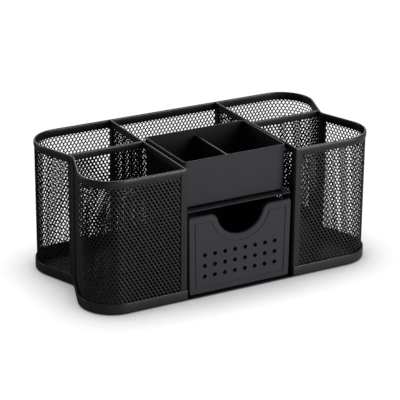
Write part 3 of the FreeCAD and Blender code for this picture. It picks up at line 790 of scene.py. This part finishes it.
@dataclass(frozen=True)
class ExpandedMesh:
    """Expanded steel mesh with upright diamonds.

    Attributes:
        across: Distance between diamonds side by side.
        upwards: Distance between diamonds one above another.
        bond: Half the height of the bonds between the strands.
        strand: Half the width of a strand.
        twist: How far each edge of a strand stands out of the sheet.
        sheet: Thickness of the metal.
    """

    across: float = 3.05 * MM
    upwards: float = 5.0 * MM
    bond: float = 0.45 * MM
    strand: float = 0.40 * MM
    twist: float = 0.32 * MM
    sheet: float = 0.36 * MM

    def _tile(self, name: str) -> Piece:
        """Models one opening with its share of the strands round it.

        Args:
            name: The tile's name.

        Returns:
            The tile, a ring of six faces round the origin.
        """
        tile = add_piece(name, bpy.ops.mesh.primitive_circle_add, vertices=6, radius=1.0,
                         fill_type="NGON", rotation=(math.pi / 2, 0, 0))
        for vertex in tile.data.vertices:
            x, _, z = vertex.co
            if abs(x) < SAME:
                vertex.co = (0.0, 0.0, math.copysign(self.upwards / 2 - self.bond, z))
            else:
                vertex.co = (math.copysign(self.across / 2, x), 0.0, math.copysign(self.bond, z))
        with editing(tile):
            bpy.ops.mesh.inset(thickness=self.strand, use_even_offset=True)
            bpy.ops.mesh.delete(type="FACE")
        inner = self.across / 2 - self.strand / 2
        for side in Side:
            with editing(tile, Element.VERTEX, lambda v, s=side: CLEAR < v.co.x * s.value < inner):
                bpy.ops.transform.translate(value=(0, -side.value * self.twist, 0))
        return tile

    def flat(self, name: str, length: float, height: float) -> Piece:
        """Makes a flat sheet from X = 0 to length and Z = 0 to height.

        Args:
            name: The sheet's name.
            length: Its size along X.
            height: Its size along Z.

        Returns:
            The sheet.
        """
        sheet = self._tile(name)
        columns = math.ceil(length / self.across) + 2
        rows = math.ceil(height / self.upwards) + 2
        for count, step in ((2, (self.across / 2, 0, self.upwards / 2)),
                            (columns, (self.across, 0, 0)), (rows, (0, 0, self.upwards))):
            array = sheet.modifiers.new("repeat", "ARRAY")
            array.count = count
            array.use_relative_offset = False
            array.use_constant_offset = True
            array.constant_offset_displace = step
            array.use_merge_vertices = True
            array.merge_threshold = SAME
        apply_modifiers(sheet)
        sheet.data.transform(Matrix.Translation((-self.across / 2, 0, -self.upwards / 2)))
        with editing(sheet, Element.VERTEX):
            bpy.ops.mesh.remove_doubles(threshold=SAME)
        for axis, end in (((1, 0, 0), (length, 0, 0)), ((0, 0, 1), (0, 0, height))):
            cut(sheet, (0, 0, 0), axis, drop_back=True)
            cut(sheet, end, axis, drop_front=True)
        solid = sheet.modifiers.new("thickness", "SOLIDIFY")
        solid.thickness = self.sheet
        solid.offset = 0.0
        apply_modifiers(sheet)
        return sheet

    def laid(self, name: str, course: Course, start: float, end: float,
             low: float, high: float) -> Piece:
        """Makes a sheet along a line in plan, between two places on it and two heights."""
        return course.wrap(self.flat(name, end - start, high - low), start, low)


@dataclass(frozen=True)
class FoldedStrip:
    """Sheet-steel strip folded over the edge of a mesh; its fold is rounded.

    Attributes:
        width: From the fold to the open edges.
        thickness: Over both legs.
        sheet: Thickness of the metal.
        fold: Rounding on each side of the fold.
        hem: Rounding of the open edges.
        crown: Where a rolled strip is thickest, below its fold; None for a flat one.
        roll_steps: Into how many steps a rolled strip is divided, fold to open edges.
        upper_roll: How much a rolled strip draws in at its fold, as a share of the square.
        lower_roll: How much it draws in at its open edges.
        longer: How much further down the leg at its left goes.
    """

    width: float = 5.0 * MM
    thickness: float = 1.8 * MM
    sheet: float = 0.5 * MM
    fold: Rounding = Rounding(0.46 * MM, 4)
    hem: Rounding = Rounding(0.12 * MM, 2)
    crown: float | None = None
    roll_steps: int = 9
    upper_roll: float = 0.5
    lower_roll: float = 0.85
    longer: float = 0.0

    def _bulge(self, height: float) -> float:
        """Gives the thickness of a rolled strip.

        Args:
            height: Where along its width, from -width to 0.

        Returns:
            Its thickness there, as a share of the full one.
        """
        from_crown = height + self.crown
        if from_crown > 0:
            return math.sqrt(1.0 - self.upper_roll * (from_crown / self.crown) ** 2)
        reach = self.width - self.crown
        return math.sqrt(1.0 - self.lower_roll * (from_crown / reach) ** 2)

    def _roll(self, strip: Piece) -> None:
        """Rolls the outer faces of a flat section, ring by ring.

        Args:
            strip: The section.
        """
        for step in range(1, self.roll_steps):
            cut(strip, (0, 0, -self.width * step / self.roll_steps), (0, 0, 1))
        outside = self.thickness / 2 - self.sheet + CLEAR
        rings = {round(v.co.z, DIGITS) for v in strip.data.vertices if abs(v.co.y) > outside}
        for ring in rings:
            with editing(strip, Element.VERTEX, lambda v, z=ring: (
                    abs(v.co.z - z) < SAME and abs(v.co.y) > outside)):
                bpy.ops.transform.resize(value=(1.0, self._bulge(ring), 1.0),
                                         center_override=(0, 0, ring))

    def _section(self, name: str) -> Piece:
        """Models the strip's section, across X, with its fold up at Z = 0.

        Args:
            name: The strip's name.

        Returns:
            The section.
        """
        half = self.thickness / 2
        strip = plate(name, self.thickness, self.width)
        for y in (self.sheet - half, half - self.sheet):
            cut(strip, (0, y, 0), (0, 1, 0))
        cut(strip, (0, 0, -self.sheet), (0, 0, 1))
        with editing(strip, Element.FACE, lambda f: (
                abs(f.center.y) < half - self.sheet and f.center.z < -self.sheet)):
            bpy.ops.mesh.delete(type="FACE")
        for height, rounding in ((0.0, self.fold), (-self.width, self.hem)):
            with editing(strip, Element.VERTEX, lambda v, z=height: (
                    abs(v.co.y) > half - SAME and abs(v.co.z - z) < SAME)):
                rounding.apply()
        if self.crown:
            self._roll(strip)
        if self.longer:
            with editing(strip, Element.VERTEX, lambda v: (
                    v.co.y < 0 and v.co.z < self.hem.size * 2 - self.width)):
                bpy.ops.transform.translate(value=(0, 0, -self.longer))
        return strip

    def flat(self, name: str, length: float, mitres: tuple[float, float] = (0.0, 0.0),
             stations: Sequence[float] = ()) -> Piece:
        """Makes a straight strip along X, with its fold up at Z = 0.

        Args:
            name: The strip's name.
            length: Its length along the fold.
            mitres: How much shorter the open edges are at the start and at the end.
            stations: Where it gets cross cuts, along X.

        Returns:
            The strip.
        """
        strip = self._section(name)
        pull(strip, length)
        start, end = mitres
        if start:
            cut(strip, (0, 0, 0), (self.width, 0, start), drop_back=True, fill=True)
        if end:
            cut(strip, (length, 0, 0), (self.width, 0, -end), drop_front=True, fill=True)
        divide(strip, stations)
        return strip

    def placed(self, name: str, origin: Sequence[float], along: Sequence[float],
               towards_fold: Sequence[float], length: float,
               mitres: tuple[float, float] = (0.0, 0.0)) -> Piece:
        """Makes a straight strip and puts it in place.

        Args:
            name: The strip's name.
            origin: Where its fold starts.
            along: Direction of its length.
            towards_fold: Direction from its open edges to its fold.
            length: Its length along the fold.
            mitres: How much shorter the open edges are at the start and at the end.

        Returns:
            The strip.
        """
        strip = self.flat(name, length, mitres)
        x_axis, z_axis = Vector(along).normalized(), Vector(towards_fold).normalized()
        turn = Matrix((x_axis, z_axis.cross(x_axis), z_axis)).transposed().to_4x4()
        strip.data.transform(Matrix.Translation(origin) @ turn)
        tidy(strip)
        return strip


# ---- sub-assemblies


@dataclass(frozen=True)
class Levels:
    """Heights and widths that the sub-assemblies share.

    Attributes:
        floor: Top of the pan's floor.
        rim_top: Top of the walls.
        band: Height of the folded strips along the top.
        crown: Where those strips are thickest, below their fold.
        post: Width of the upright folded strips.
        strip: Thickness over a folded strip.
        sheet: Thickness of the metal that strips are folded from.
        mesh: Room for a mesh inside a folded strip.
        bay_half: Middle of the bay to the middle of a cross divider.
        shelf_bottom: Underside of the shelf.
    """

    floor: float = 1.8 * MM
    rim_top: float = 103.0 * MM
    band: float = 5.5 * MM
    crown: float = 2.2 * MM
    post: float = 5.0 * MM
    strip: float = 1.8 * MM
    sheet: float = 0.5 * MM
    mesh: float = 0.8 * MM
    bay_half: float = 46.4 * MM
    shelf_bottom: float = 67.0 * MM

    @property
    def mesh_top(self) -> float:
        """Top edge of the meshes, inside the folds."""
        return self.rim_top - self.sheet

    @property
    def rim_bottom(self) -> float:
        """Lower edge of the strips along the top."""
        return self.rim_top - self.band

    @property
    def bay_face(self) -> float:
        """Middle of the bay to the face of a cross divider's strip."""
        return self.bay_half - self.strip / 2


@dataclass
class SubAssembly(ABC):
    """A group of pieces that share their sizes.

    Attributes:
        levels: The shared heights and widths.
        course: The plan of the walls.
    """

    levels: Levels = Levels()
    course: WallCourse = WallCourse()

    @abstractmethod
    def build(self) -> None:
        """Builds and dresses every piece of the group."""

    @property
    def rim_run(self) -> tuple[float, float]:
        """Where the walls' course leaves one side of the bay and comes back to the other."""
        start = self.course.front_middle + self.levels.bay_face
        return start, self.course.front_middle + 4 * self.course.quarter - self.levels.bay_face

    @staticmethod
    def finish(obj: Piece, node: str, coat: Finish, dressed: bool = False) -> None:
        """Dresses a new piece and sets it on the stand in place of a CAD node.

        Args:
            obj: The piece.
            node: The CAD node that it stands for.
            coat: Its finish.
            dressed: True if its parts already have theirs.
        """
        if not dressed:
            coat.dress(obj)
        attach(obj, STAND)
        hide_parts(node)
        LOG.info("%s: %d faces, for %s", obj.name, len(obj.data.polygons), node)

    def finish_strip(self, strip: Piece, node: str, dressed: bool = False) -> None:
        """Smooths a piece of folded or pressed sheet and finishes it in the strips' coat."""
        smooth(strip)
        self.finish(strip, node, STRIP_COAT, dressed)


@dataclass
class OuterWalls(SubAssembly):
    """Three meshes, their rim, the two front posts and the strips that join the meshes.

    Attributes:
        rear_mesh: The mesh of the rear wall.
        front_mesh: The mesh of the front walls.
        inner_leg: How much further down the rim goes on the inside.
        joining_width: Width of a joining strip.
        joining_web: Width of the web between its two leaves.
        leaf_round: Rounding of a leaf's upright edges.
        leaf_steps: Into how many steps each half of a leaf is divided along the notch.
    """

    rear_mesh: ExpandedMesh = ExpandedMesh()
    front_mesh: ExpandedMesh = ExpandedMesh(twist=-0.10 * MM)
    inner_leg: float = 0.9 * MM
    joining_width: float = 10.0 * MM
    joining_web: float = 0.6 * MM
    leaf_round: Rounding = Rounding(0.18 * MM, 3)
    leaf_steps: int = 6

    def build(self) -> None:
        """Builds the outer walls."""
        self.build_meshes()
        self.build_rim()
        for side in Side:
            self.build_post(side)
            self.build_joining_strip(side)

    def build_meshes(self) -> None:
        """Builds the rear mesh and the two front meshes."""
        levels, course = self.levels, self.course
        half_web = self.joining_web / 2
        end_of_mesh = levels.bay_face + levels.sheet
        spans = (
            # The rear mesh takes the copy of the mesh coat with painted shade.
            ("rear_expanded_sheet", "rear_wall_mesh", self.rear_mesh, REAR_MESH_SHADE_COAT,
             half_web, 2 * course.quarter - half_web),
            ("front_left_expanded_sheet", "front_wall_mesh_left", self.front_mesh, MESH_COAT,
             2 * course.quarter + half_web, course.front_middle - end_of_mesh),
            ("front_right_expanded_sheet", "front_wall_mesh_right", self.front_mesh, MESH_COAT,
             course.front_middle + end_of_mesh, 4 * course.quarter - half_web),
        )
        for name, node, mesh, coat, start, end in spans:
            sheet = mesh.laid(name, course, start, end, levels.floor, levels.mesh_top)
            self.finish(sheet, node, coat)

    def build_rim(self) -> None:
        """Builds the folded strip along the top of the walls."""
        levels = self.levels
        start, end = self.rim_run
        fold = FoldedStrip(width=levels.band, crown=levels.crown, longer=self.inner_leg)
        rim = fold.flat("folded_rim", end - start, (levels.post, levels.post),
                        self.course.stations(start, end))
        self.finish_strip(self.course.wrap(rim, start, levels.rim_top), "top_rim")

    def build_post(self, side: Side) -> None:
        """Builds the upright strip at one side of the bay's mouth.

        Args:
            side: The side.
        """
        levels = self.levels
        post = FoldedStrip(width=levels.post).placed(
            f"folded_post_{side.label}",
            (side.value * levels.bay_face, -self.course.depth / 2, levels.floor),
            (0, 0, 1), (-side.value, 0, 0), levels.rim_top - levels.floor, (0.0, levels.band))
        self.finish_strip(post, f"front_post_{side.label}")

    def build_joining_strip(self, side: Side) -> None:
        """Builds the H-shaped strip at the bottom of one notch.

        Args:
            side: The side of the notch.
        """
        levels = self.levels
        half, height = self.joining_width / 2, levels.rim_bottom - levels.floor
        leaf_size = (self.joining_width, (levels.strip - levels.mesh) / 2, height)
        leaf_middle = (levels.strip + levels.mesh) / 4
        parts = [block("leaf", leaf_size, (0, y, height / 2)) for y in (leaf_middle, -leaf_middle)]
        for leaf in parts:
            places = [vertex.co.z for vertex in leaf.data.vertices]
            with editing(leaf, Element.EDGE, lambda e: (
                    abs(places[e.vertices[0]] - places[e.vertices[1]]) > SAME)):
                self.leaf_round.apply("EDGES")
            divide(leaf, [half * step / self.leaf_steps
                          for step in range(1 - self.leaf_steps, self.leaf_steps)])
        web_size = (self.joining_web, levels.mesh, height)
        parts.append(block("web", web_size, (0, 0, height / 2)))
        middle = 0.0 if side is Side.RIGHT else 2 * self.course.quarter
        for part in parts:
            self.course.wrap(part, middle, levels.floor)
        strip = join(f"folded_joining_strip_{side.label}", parts)
        self.finish_strip(strip, f"joining_strip_{side.label}")


@dataclass
class Dividers(SubAssembly):
    """The two cross dividers beside the bay, the two side dividers and the bay's back.

    Attributes:
        side_mesh: The mesh of the side dividers and of the bay's back.
        cross_mesh: The mesh of the cross dividers.
        setback: How far the side dividers stand behind the middle.
        bay_back: How far the bay's back does.
    """

    side_mesh: ExpandedMesh = ExpandedMesh()
    cross_mesh: ExpandedMesh = ExpandedMesh(twist=-0.20 * MM)
    setback: float = 5.8 * MM
    bay_back: float = 13.0 * MM

    def build(self) -> None:
        """Builds the dividers and the panel behind the drawer."""
        for side in Side:
            self.build_cross_divider(side)
            self.build_side_divider(side)
        half = self.levels.bay_half - self.levels.mesh / 2
        self.build_panel("bay_back_expanded_sheet", "bay_back_mesh", self.side_mesh,
                         StraightCourse((-half, self.bay_back), (half, self.bay_back)),
                         self.levels.shelf_bottom)

    def build_panel(self, name: str, node: str, mesh: ExpandedMesh, course: StraightCourse,
                    top: float) -> None:
        """Builds a straight sheet of mesh that stands on the pan, all along its course."""
        sheet = mesh.laid(name, course, 0.0, course.length, self.levels.floor, top)
        # Inner meshes take the copy of the mesh coat with painted shade.
        self.finish(sheet, node, INNER_MESH_SHADE_COAT)

    def build_cross_divider(self, side: Side) -> None:
        """Builds one cross divider: its mesh and the strip round three of its edges.

        Args:
            side: The side of the bay that it stands on.
        """
        levels = self.levels
        x = side.value * levels.bay_half
        rear_rim = self.course.depth / 2 - levels.strip / 2
        front, rear = -rear_rim, self.course.depth / 2 - levels.mesh / 2
        self.build_panel(f"cross_divider_expanded_sheet_{side.label}",
                         f"cross_divider_mesh_{side.label}", self.cross_mesh,
                         StraightCourse((x, front + levels.sheet), (x, rear - levels.sheet)),
                         levels.mesh_top)
        upright = FoldedStrip(width=levels.post)
        crown = FoldedStrip(width=levels.band, crown=levels.crown)
        strip = join(f"cross_divider_folded_strip_{side.label}", [
            upright.placed("front_edge", (x, front, levels.floor), (0, 0, 1), (0, -1, 0),
                           levels.rim_top - levels.floor, (0.0, levels.band)),
            crown.placed("crown", (x, front, levels.rim_top), (0, 1, 0), (0, 0, 1),
                         rear_rim - front, (levels.post, 0.0)),
            upright.placed("rear_edge", (x, rear, levels.floor), (0, 0, 1), (0, 1, 0),
                           levels.rim_bottom - levels.floor),
        ])
        self.finish_strip(strip, f"cross_divider_frame_{side.label}")

    def build_side_divider(self, side: Side) -> None:
        """Builds one side divider: its mesh and the strip along its top.

        Args:
            side: The end compartment that it splits.
        """
        levels = self.levels
        near = levels.bay_half + levels.strip / 2
        band_node, mesh_node = (f"side_divider_{part}_{side.label}" for part in ("band", "mesh"))
        band_end, mesh_end = (max(abs(corner.x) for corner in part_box(node))
                              for node in (band_node, mesh_node))
        start = (side.value * near, self.setback)
        self.build_panel(f"side_divider_expanded_sheet_{side.label}", mesh_node, self.side_mesh,
                         StraightCourse(start, (side.value * mesh_end, self.setback)),
                         levels.mesh_top)
        band = FoldedStrip(width=levels.band, crown=levels.crown).placed(
            f"side_divider_folded_strip_{side.label}", (*start, levels.rim_top),
            (side.value, 0, 0), (0, 0, 1), band_end - near)
        self.finish_strip(band, band_node)


@dataclass
class BasePan(SubAssembly):
    """Pressed sheet pan: a floor and a turned-up edge that is left out across the bay.

    Attributes:
        bottom: Underside of the pan.
        wall_height: Height of the turned-up edge, from that underside.
        inner: How far the edge's inner face stands out from the walls' course.
        outer: How far its outer face does.
        lip: Rounding of its top.
        press: Rounding where the floor turns up.
    """

    bottom: float = 1.0 * MM
    wall_height: float = 7.8 * MM
    inner: float = 1.0 * MM
    outer: float = 1.79 * MM
    lip: Rounding = Rounding(0.34 * MM, 3)
    press: Rounding = Rounding(0.5 * MM, 4)

    def build(self) -> None:
        """Builds the pan as one piece, its floor darker and less shiny than its edge as painted
        shade.
        """
        floor, wall = self._floor(), self._wall()
        # The floor takes the copy of the strips' coat with painted shade.
        PAN_FLOOR_SHADE_COAT.dress(floor)
        STRIP_COAT.dress(wall)
        pan = join("pressed_base_pan", [floor, wall])
        self.finish_strip(pan, "base_pan", dressed=True)

    def _floor(self) -> Piece:
        """Models the floor, with the round of the press along its lower edge.

        Returns:
            The floor.
        """
        marks = self.course.stations(0.0, 4 * self.course.quarter)
        floor = add_piece("pan_floor", bpy.ops.mesh.primitive_circle_add, vertices=len(marks),
                          radius=self.course.depth / 2, fill_type="NGON")
        mesh = floor.data
        for vertex, mark in zip(mesh.vertices, marks):
            vertex.co = self.course.place(mark, self.outer, self.bottom)
        with editing(floor):
            bpy.ops.mesh.extrude_region_move(
                TRANSFORM_OT_translate={"value": (0, 0, self.levels.floor - self.bottom)})
        tidy(floor)
        with editing(floor, Element.EDGE, lambda e: all(
                mesh.vertices[index].co.z < self.bottom + SAME for index in e.vertices)):
            self.press.apply("EDGES")
        return floor

    def _wall(self) -> Piece:
        """Models the turned-up edge, with a rounded lip.

        Returns:
            The edge.
        """
        start, end = self.rim_run
        height = self.wall_height + self.bottom - self.levels.floor
        wall = plate("pan_wall", self.outer - self.inner, height)
        with editing(wall, Element.VERTEX, lambda v: v.co.z > -SAME):
            self.lip.apply()
        pull(wall, end - start)
        wall.data.transform(Matrix.Translation((0, (self.inner + self.outer) / 2, 0)))
        divide(wall, self.course.stations(start, end))
        return self.course.wrap(wall, start, self.levels.floor + height)


@dataclass
class CarriedParts:
    """CAD nodes whose shape is right and that only get their finish.

    Attributes:
        finishes: The finish of each node.
    """

    finishes: dict[str, Finish] = field(default_factory=lambda: {
        # The shelf takes the copy of the strips' coat with painted shade.
        "shelf": SHELF_SHADE_COAT,
        "upper_box": BOX_PLASTIC,
        "drawer": DRAWER_PLASTIC,
        **{f"foot_{wall}_{side.label}": FOAM for wall in ("front", "rear") for side in Side},
    })

    def build(self) -> None:
        """Dresses the nodes."""
        for name, finish in self.finishes.items():
            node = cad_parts[name]
            finish.dress(node)
            LOG.info("%s: kept, in %s", name, finish.name)


# ---- studio


@dataclass(frozen=True)
class Lamp:
    """A square area lamp of the studio.

    Attributes:
        name: Its name.
        place: Where it stands.
        size: Length of its sides.
        power: Power in watts.
        target: What it points at.
    """

    name: str
    place: Point
    size: float
    power: float
    target: Point = (0.0, 0.0, 50.0 * MM)

    def build(self) -> None:
        """Adds the lamp."""
        data = bpy.data.lights.new(self.name, "AREA")
        data.shape = "SQUARE"
        data.size = self.size
        data.energy = self.power
        lamp = bpy.data.objects.new(self.name, data)
        bpy.context.scene.collection.objects.link(lamp)
        lamp.location = self.place
        aim = Vector(self.target) - Vector(self.place)
        lamp.rotation_euler = aim.to_track_quat("-Z", "Y").to_euler()


@dataclass(frozen=True)
class PaperFloor:
    """White paper, of which the camera sees little but the object's soft shadow.

    Attributes:
        size: Length of its sides.
        paper: Its darkest and its palest fibres, for the camera.
        bounce: How pale it is for other rays, on the left and on the right.
        across: Direction from that left to that right.
        fade: Between which distances along it the one turns into the other.
        glow: Strength of the white that the camera sees.
        shadow: How far the contact shadow reaches.
        shadow_depth: The power that deepens it.
        shadow_samples: How many rays find it.
    """

    size: float = 8.0
    paper: tuple[float, float] = (0.14, 0.16)
    bounce: tuple[float, float] = (0.30, 0.90)
    across: Point = (0.8, -0.6, 0.0)
    fade: tuple[float, float] = (-0.12, 0.06)
    glow: float = 1.03
    shadow: float = 48.0 * MM
    shadow_depth: float = 1.3
    shadow_samples: int = 12

    def build(self) -> None:
        """Adds the floor."""
        floor = add_piece("studio_floor", bpy.ops.mesh.primitive_plane_add, size=self.size)
        floor.data.materials.append(self.material())

    def material(self) -> bpy.types.Material:
        """Builds the paper's material.

        Returns:
            The material.
        """
        material = bpy.data.materials.new("white_paper_floor")
        material.use_nodes = True
        tree = material.node_tree
        place = add_node(tree, "ShaderNodeTexCoord").outputs["Object"]
        fibres = add_node(tree, "ShaderNodeTexNoise", {"Vector": place, "Scale": 40.0})
        reach = add_node(tree, "ShaderNodeVectorMath", {0: place, 1: self.across},
                         operation="DOT_PRODUCT")
        fade = add_node(tree, "ShaderNodeMapRange",
                        {"Value": reach.outputs["Value"], "From Min": self.fade[0],
                         "From Max": self.fade[1]}, interpolation_type="SMOOTHSTEP")
        seen = add_node(tree, "ShaderNodeLightPath").outputs["Is Camera Ray"]
        bounce = add_mix(tree, fade.outputs["Result"], *map(grey, self.bounce))
        paper = add_mix(tree, fibres.outputs["Fac"], *map(grey, self.paper))
        shader = tree.nodes["Principled BSDF"]
        feed(tree, shader, {"Base Color": add_mix(tree, seen, bounce, paper),
                            "Roughness": 0.9, "Specular IOR Level": 0.1})
        contact = add_node(tree, "ShaderNodeAmbientOcclusion", {"Distance": self.shadow},
                           samples=self.shadow_samples).outputs["AO"]
        strength = add_math(tree, "MULTIPLY", add_math(tree, "MULTIPLY", seen, self.glow),
                            add_math(tree, "POWER", contact, self.shadow_depth))
        glow = add_node(tree, "ShaderNodeEmission", {"Color": grey(1.0), "Strength": strength})
        total = add_node(tree, "ShaderNodeAddShader",
                         {0: shader.outputs["BSDF"], 1: glow.outputs["Emission"]})
        feed(tree, tree.nodes["Material Output"], {"Surface": total.outputs["Shader"]})
        return material


@dataclass
class Studio:
    """White floor, white surround, soft lamps and the camera.

    Attributes:
        azimuth: Camera direction round the object, in degrees from the front.
        elevation: Camera height, in degrees.
        distance: Camera to target.
        roll: Turn about the line of sight, in degrees.
        target: What the camera looks at.
        focal_pixels: Focal length in pixels of the frame.
        frame_pixels: Width of the frame in pixels.
        sensor: Width of the camera's sensor, in millimetres.
        clip: Nearest and farthest that the camera sees.
        surround: Strength of the surround's light.
        floor: The floor.
        lamps: The lamps.
    """

    azimuth: float = -29.05
    elevation: float = 21.47
    distance: float = 1.3967
    roll: float = 0.42
    target: Point = (-0.79 * MM, 0.0, 49.56 * MM)
    focal_pixels: float = 1833.7
    frame_pixels: float = 400.0
    sensor: float = 36.0
    clip: tuple[float, float] = (0.05, 20.0)
    surround: float = 0.11
    floor: PaperFloor = PaperFloor()
    lamps: tuple[Lamp, ...] = (
        Lamp("key_softbox", (0.85, -1.65, 0.50), 1.1, 18.5),
        Lamp("top_softbox", (0.0, 0.3, 1.7), 1.4, 1.0),
        Lamp("side_softbox", (-1.25, 1.05, 0.30), 0.7, 3.0),
        Lamp("back_softbox", (0.8, 1.45, 0.75), 1.0, 4.0),
    )

    def build(self) -> None:
        """Builds the studio."""
        self.build_world()
        self.floor.build()
        for lamp in self.lamps:
            lamp.build()
        self.build_camera()
        bpy.context.scene.view_settings.view_transform = "Standard"

    def build_world(self) -> None:
        """Sets an even white surround."""
        world = bpy.data.worlds.new("white_surround")
        bpy.context.scene.world = world
        world.use_nodes = True
        tree = world.node_tree
        light = tree.nodes["Background"]
        feed(tree, light, {"Color": grey(1.0), "Strength": self.surround})
        backdrop = add_node(tree, "ShaderNodeBackground", {"Color": grey(1.0), "Strength": 1.0})
        path = add_node(tree, "ShaderNodeLightPath")
        mix = add_node(tree, "ShaderNodeMixShader", {
            "Fac": path.outputs["Is Camera Ray"],
            1: light.outputs["Background"],
            2: backdrop.outputs["Background"],
        })
        feed(tree, tree.nodes["World Output"], {"Surface": mix.outputs["Shader"]})

    def build_camera(self) -> None:
        """Adds the camera at the viewing angle."""
        azimuth, elevation, roll = map(math.radians, (self.azimuth, self.elevation, self.roll))
        back = Vector((math.sin(azimuth) * math.cos(elevation),
                       -math.cos(azimuth) * math.cos(elevation), math.sin(elevation)))
        turn = back.to_track_quat("Z", "Y").to_matrix() @ Matrix.Rotation(roll, 3, "Z")
        data = bpy.data.cameras.new("studio_camera")
        data.sensor_width = self.sensor
        data.lens = self.focal_pixels / self.frame_pixels * self.sensor
        data.clip_start, data.clip_end = self.clip
        camera = bpy.data.objects.new("studio_camera", data)
        bpy.context.scene.collection.objects.link(camera)
        place = Vector(self.target) + back * self.distance
        camera.matrix_world = Matrix.Translation(place) @ turn.to_4x4()
        bpy.context.scene.camera = camera


def main() -> None:
    """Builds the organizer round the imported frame, then the studio."""
    logging.basicConfig(level=logging.INFO, format="%(message)s")
    for part in (BasePan(), OuterWalls(), Dividers(), CarriedParts(), Studio()):
        part.build()
        LOG.info("%s: built", type(part).__name__)


if __name__ == "__main__":
    main()
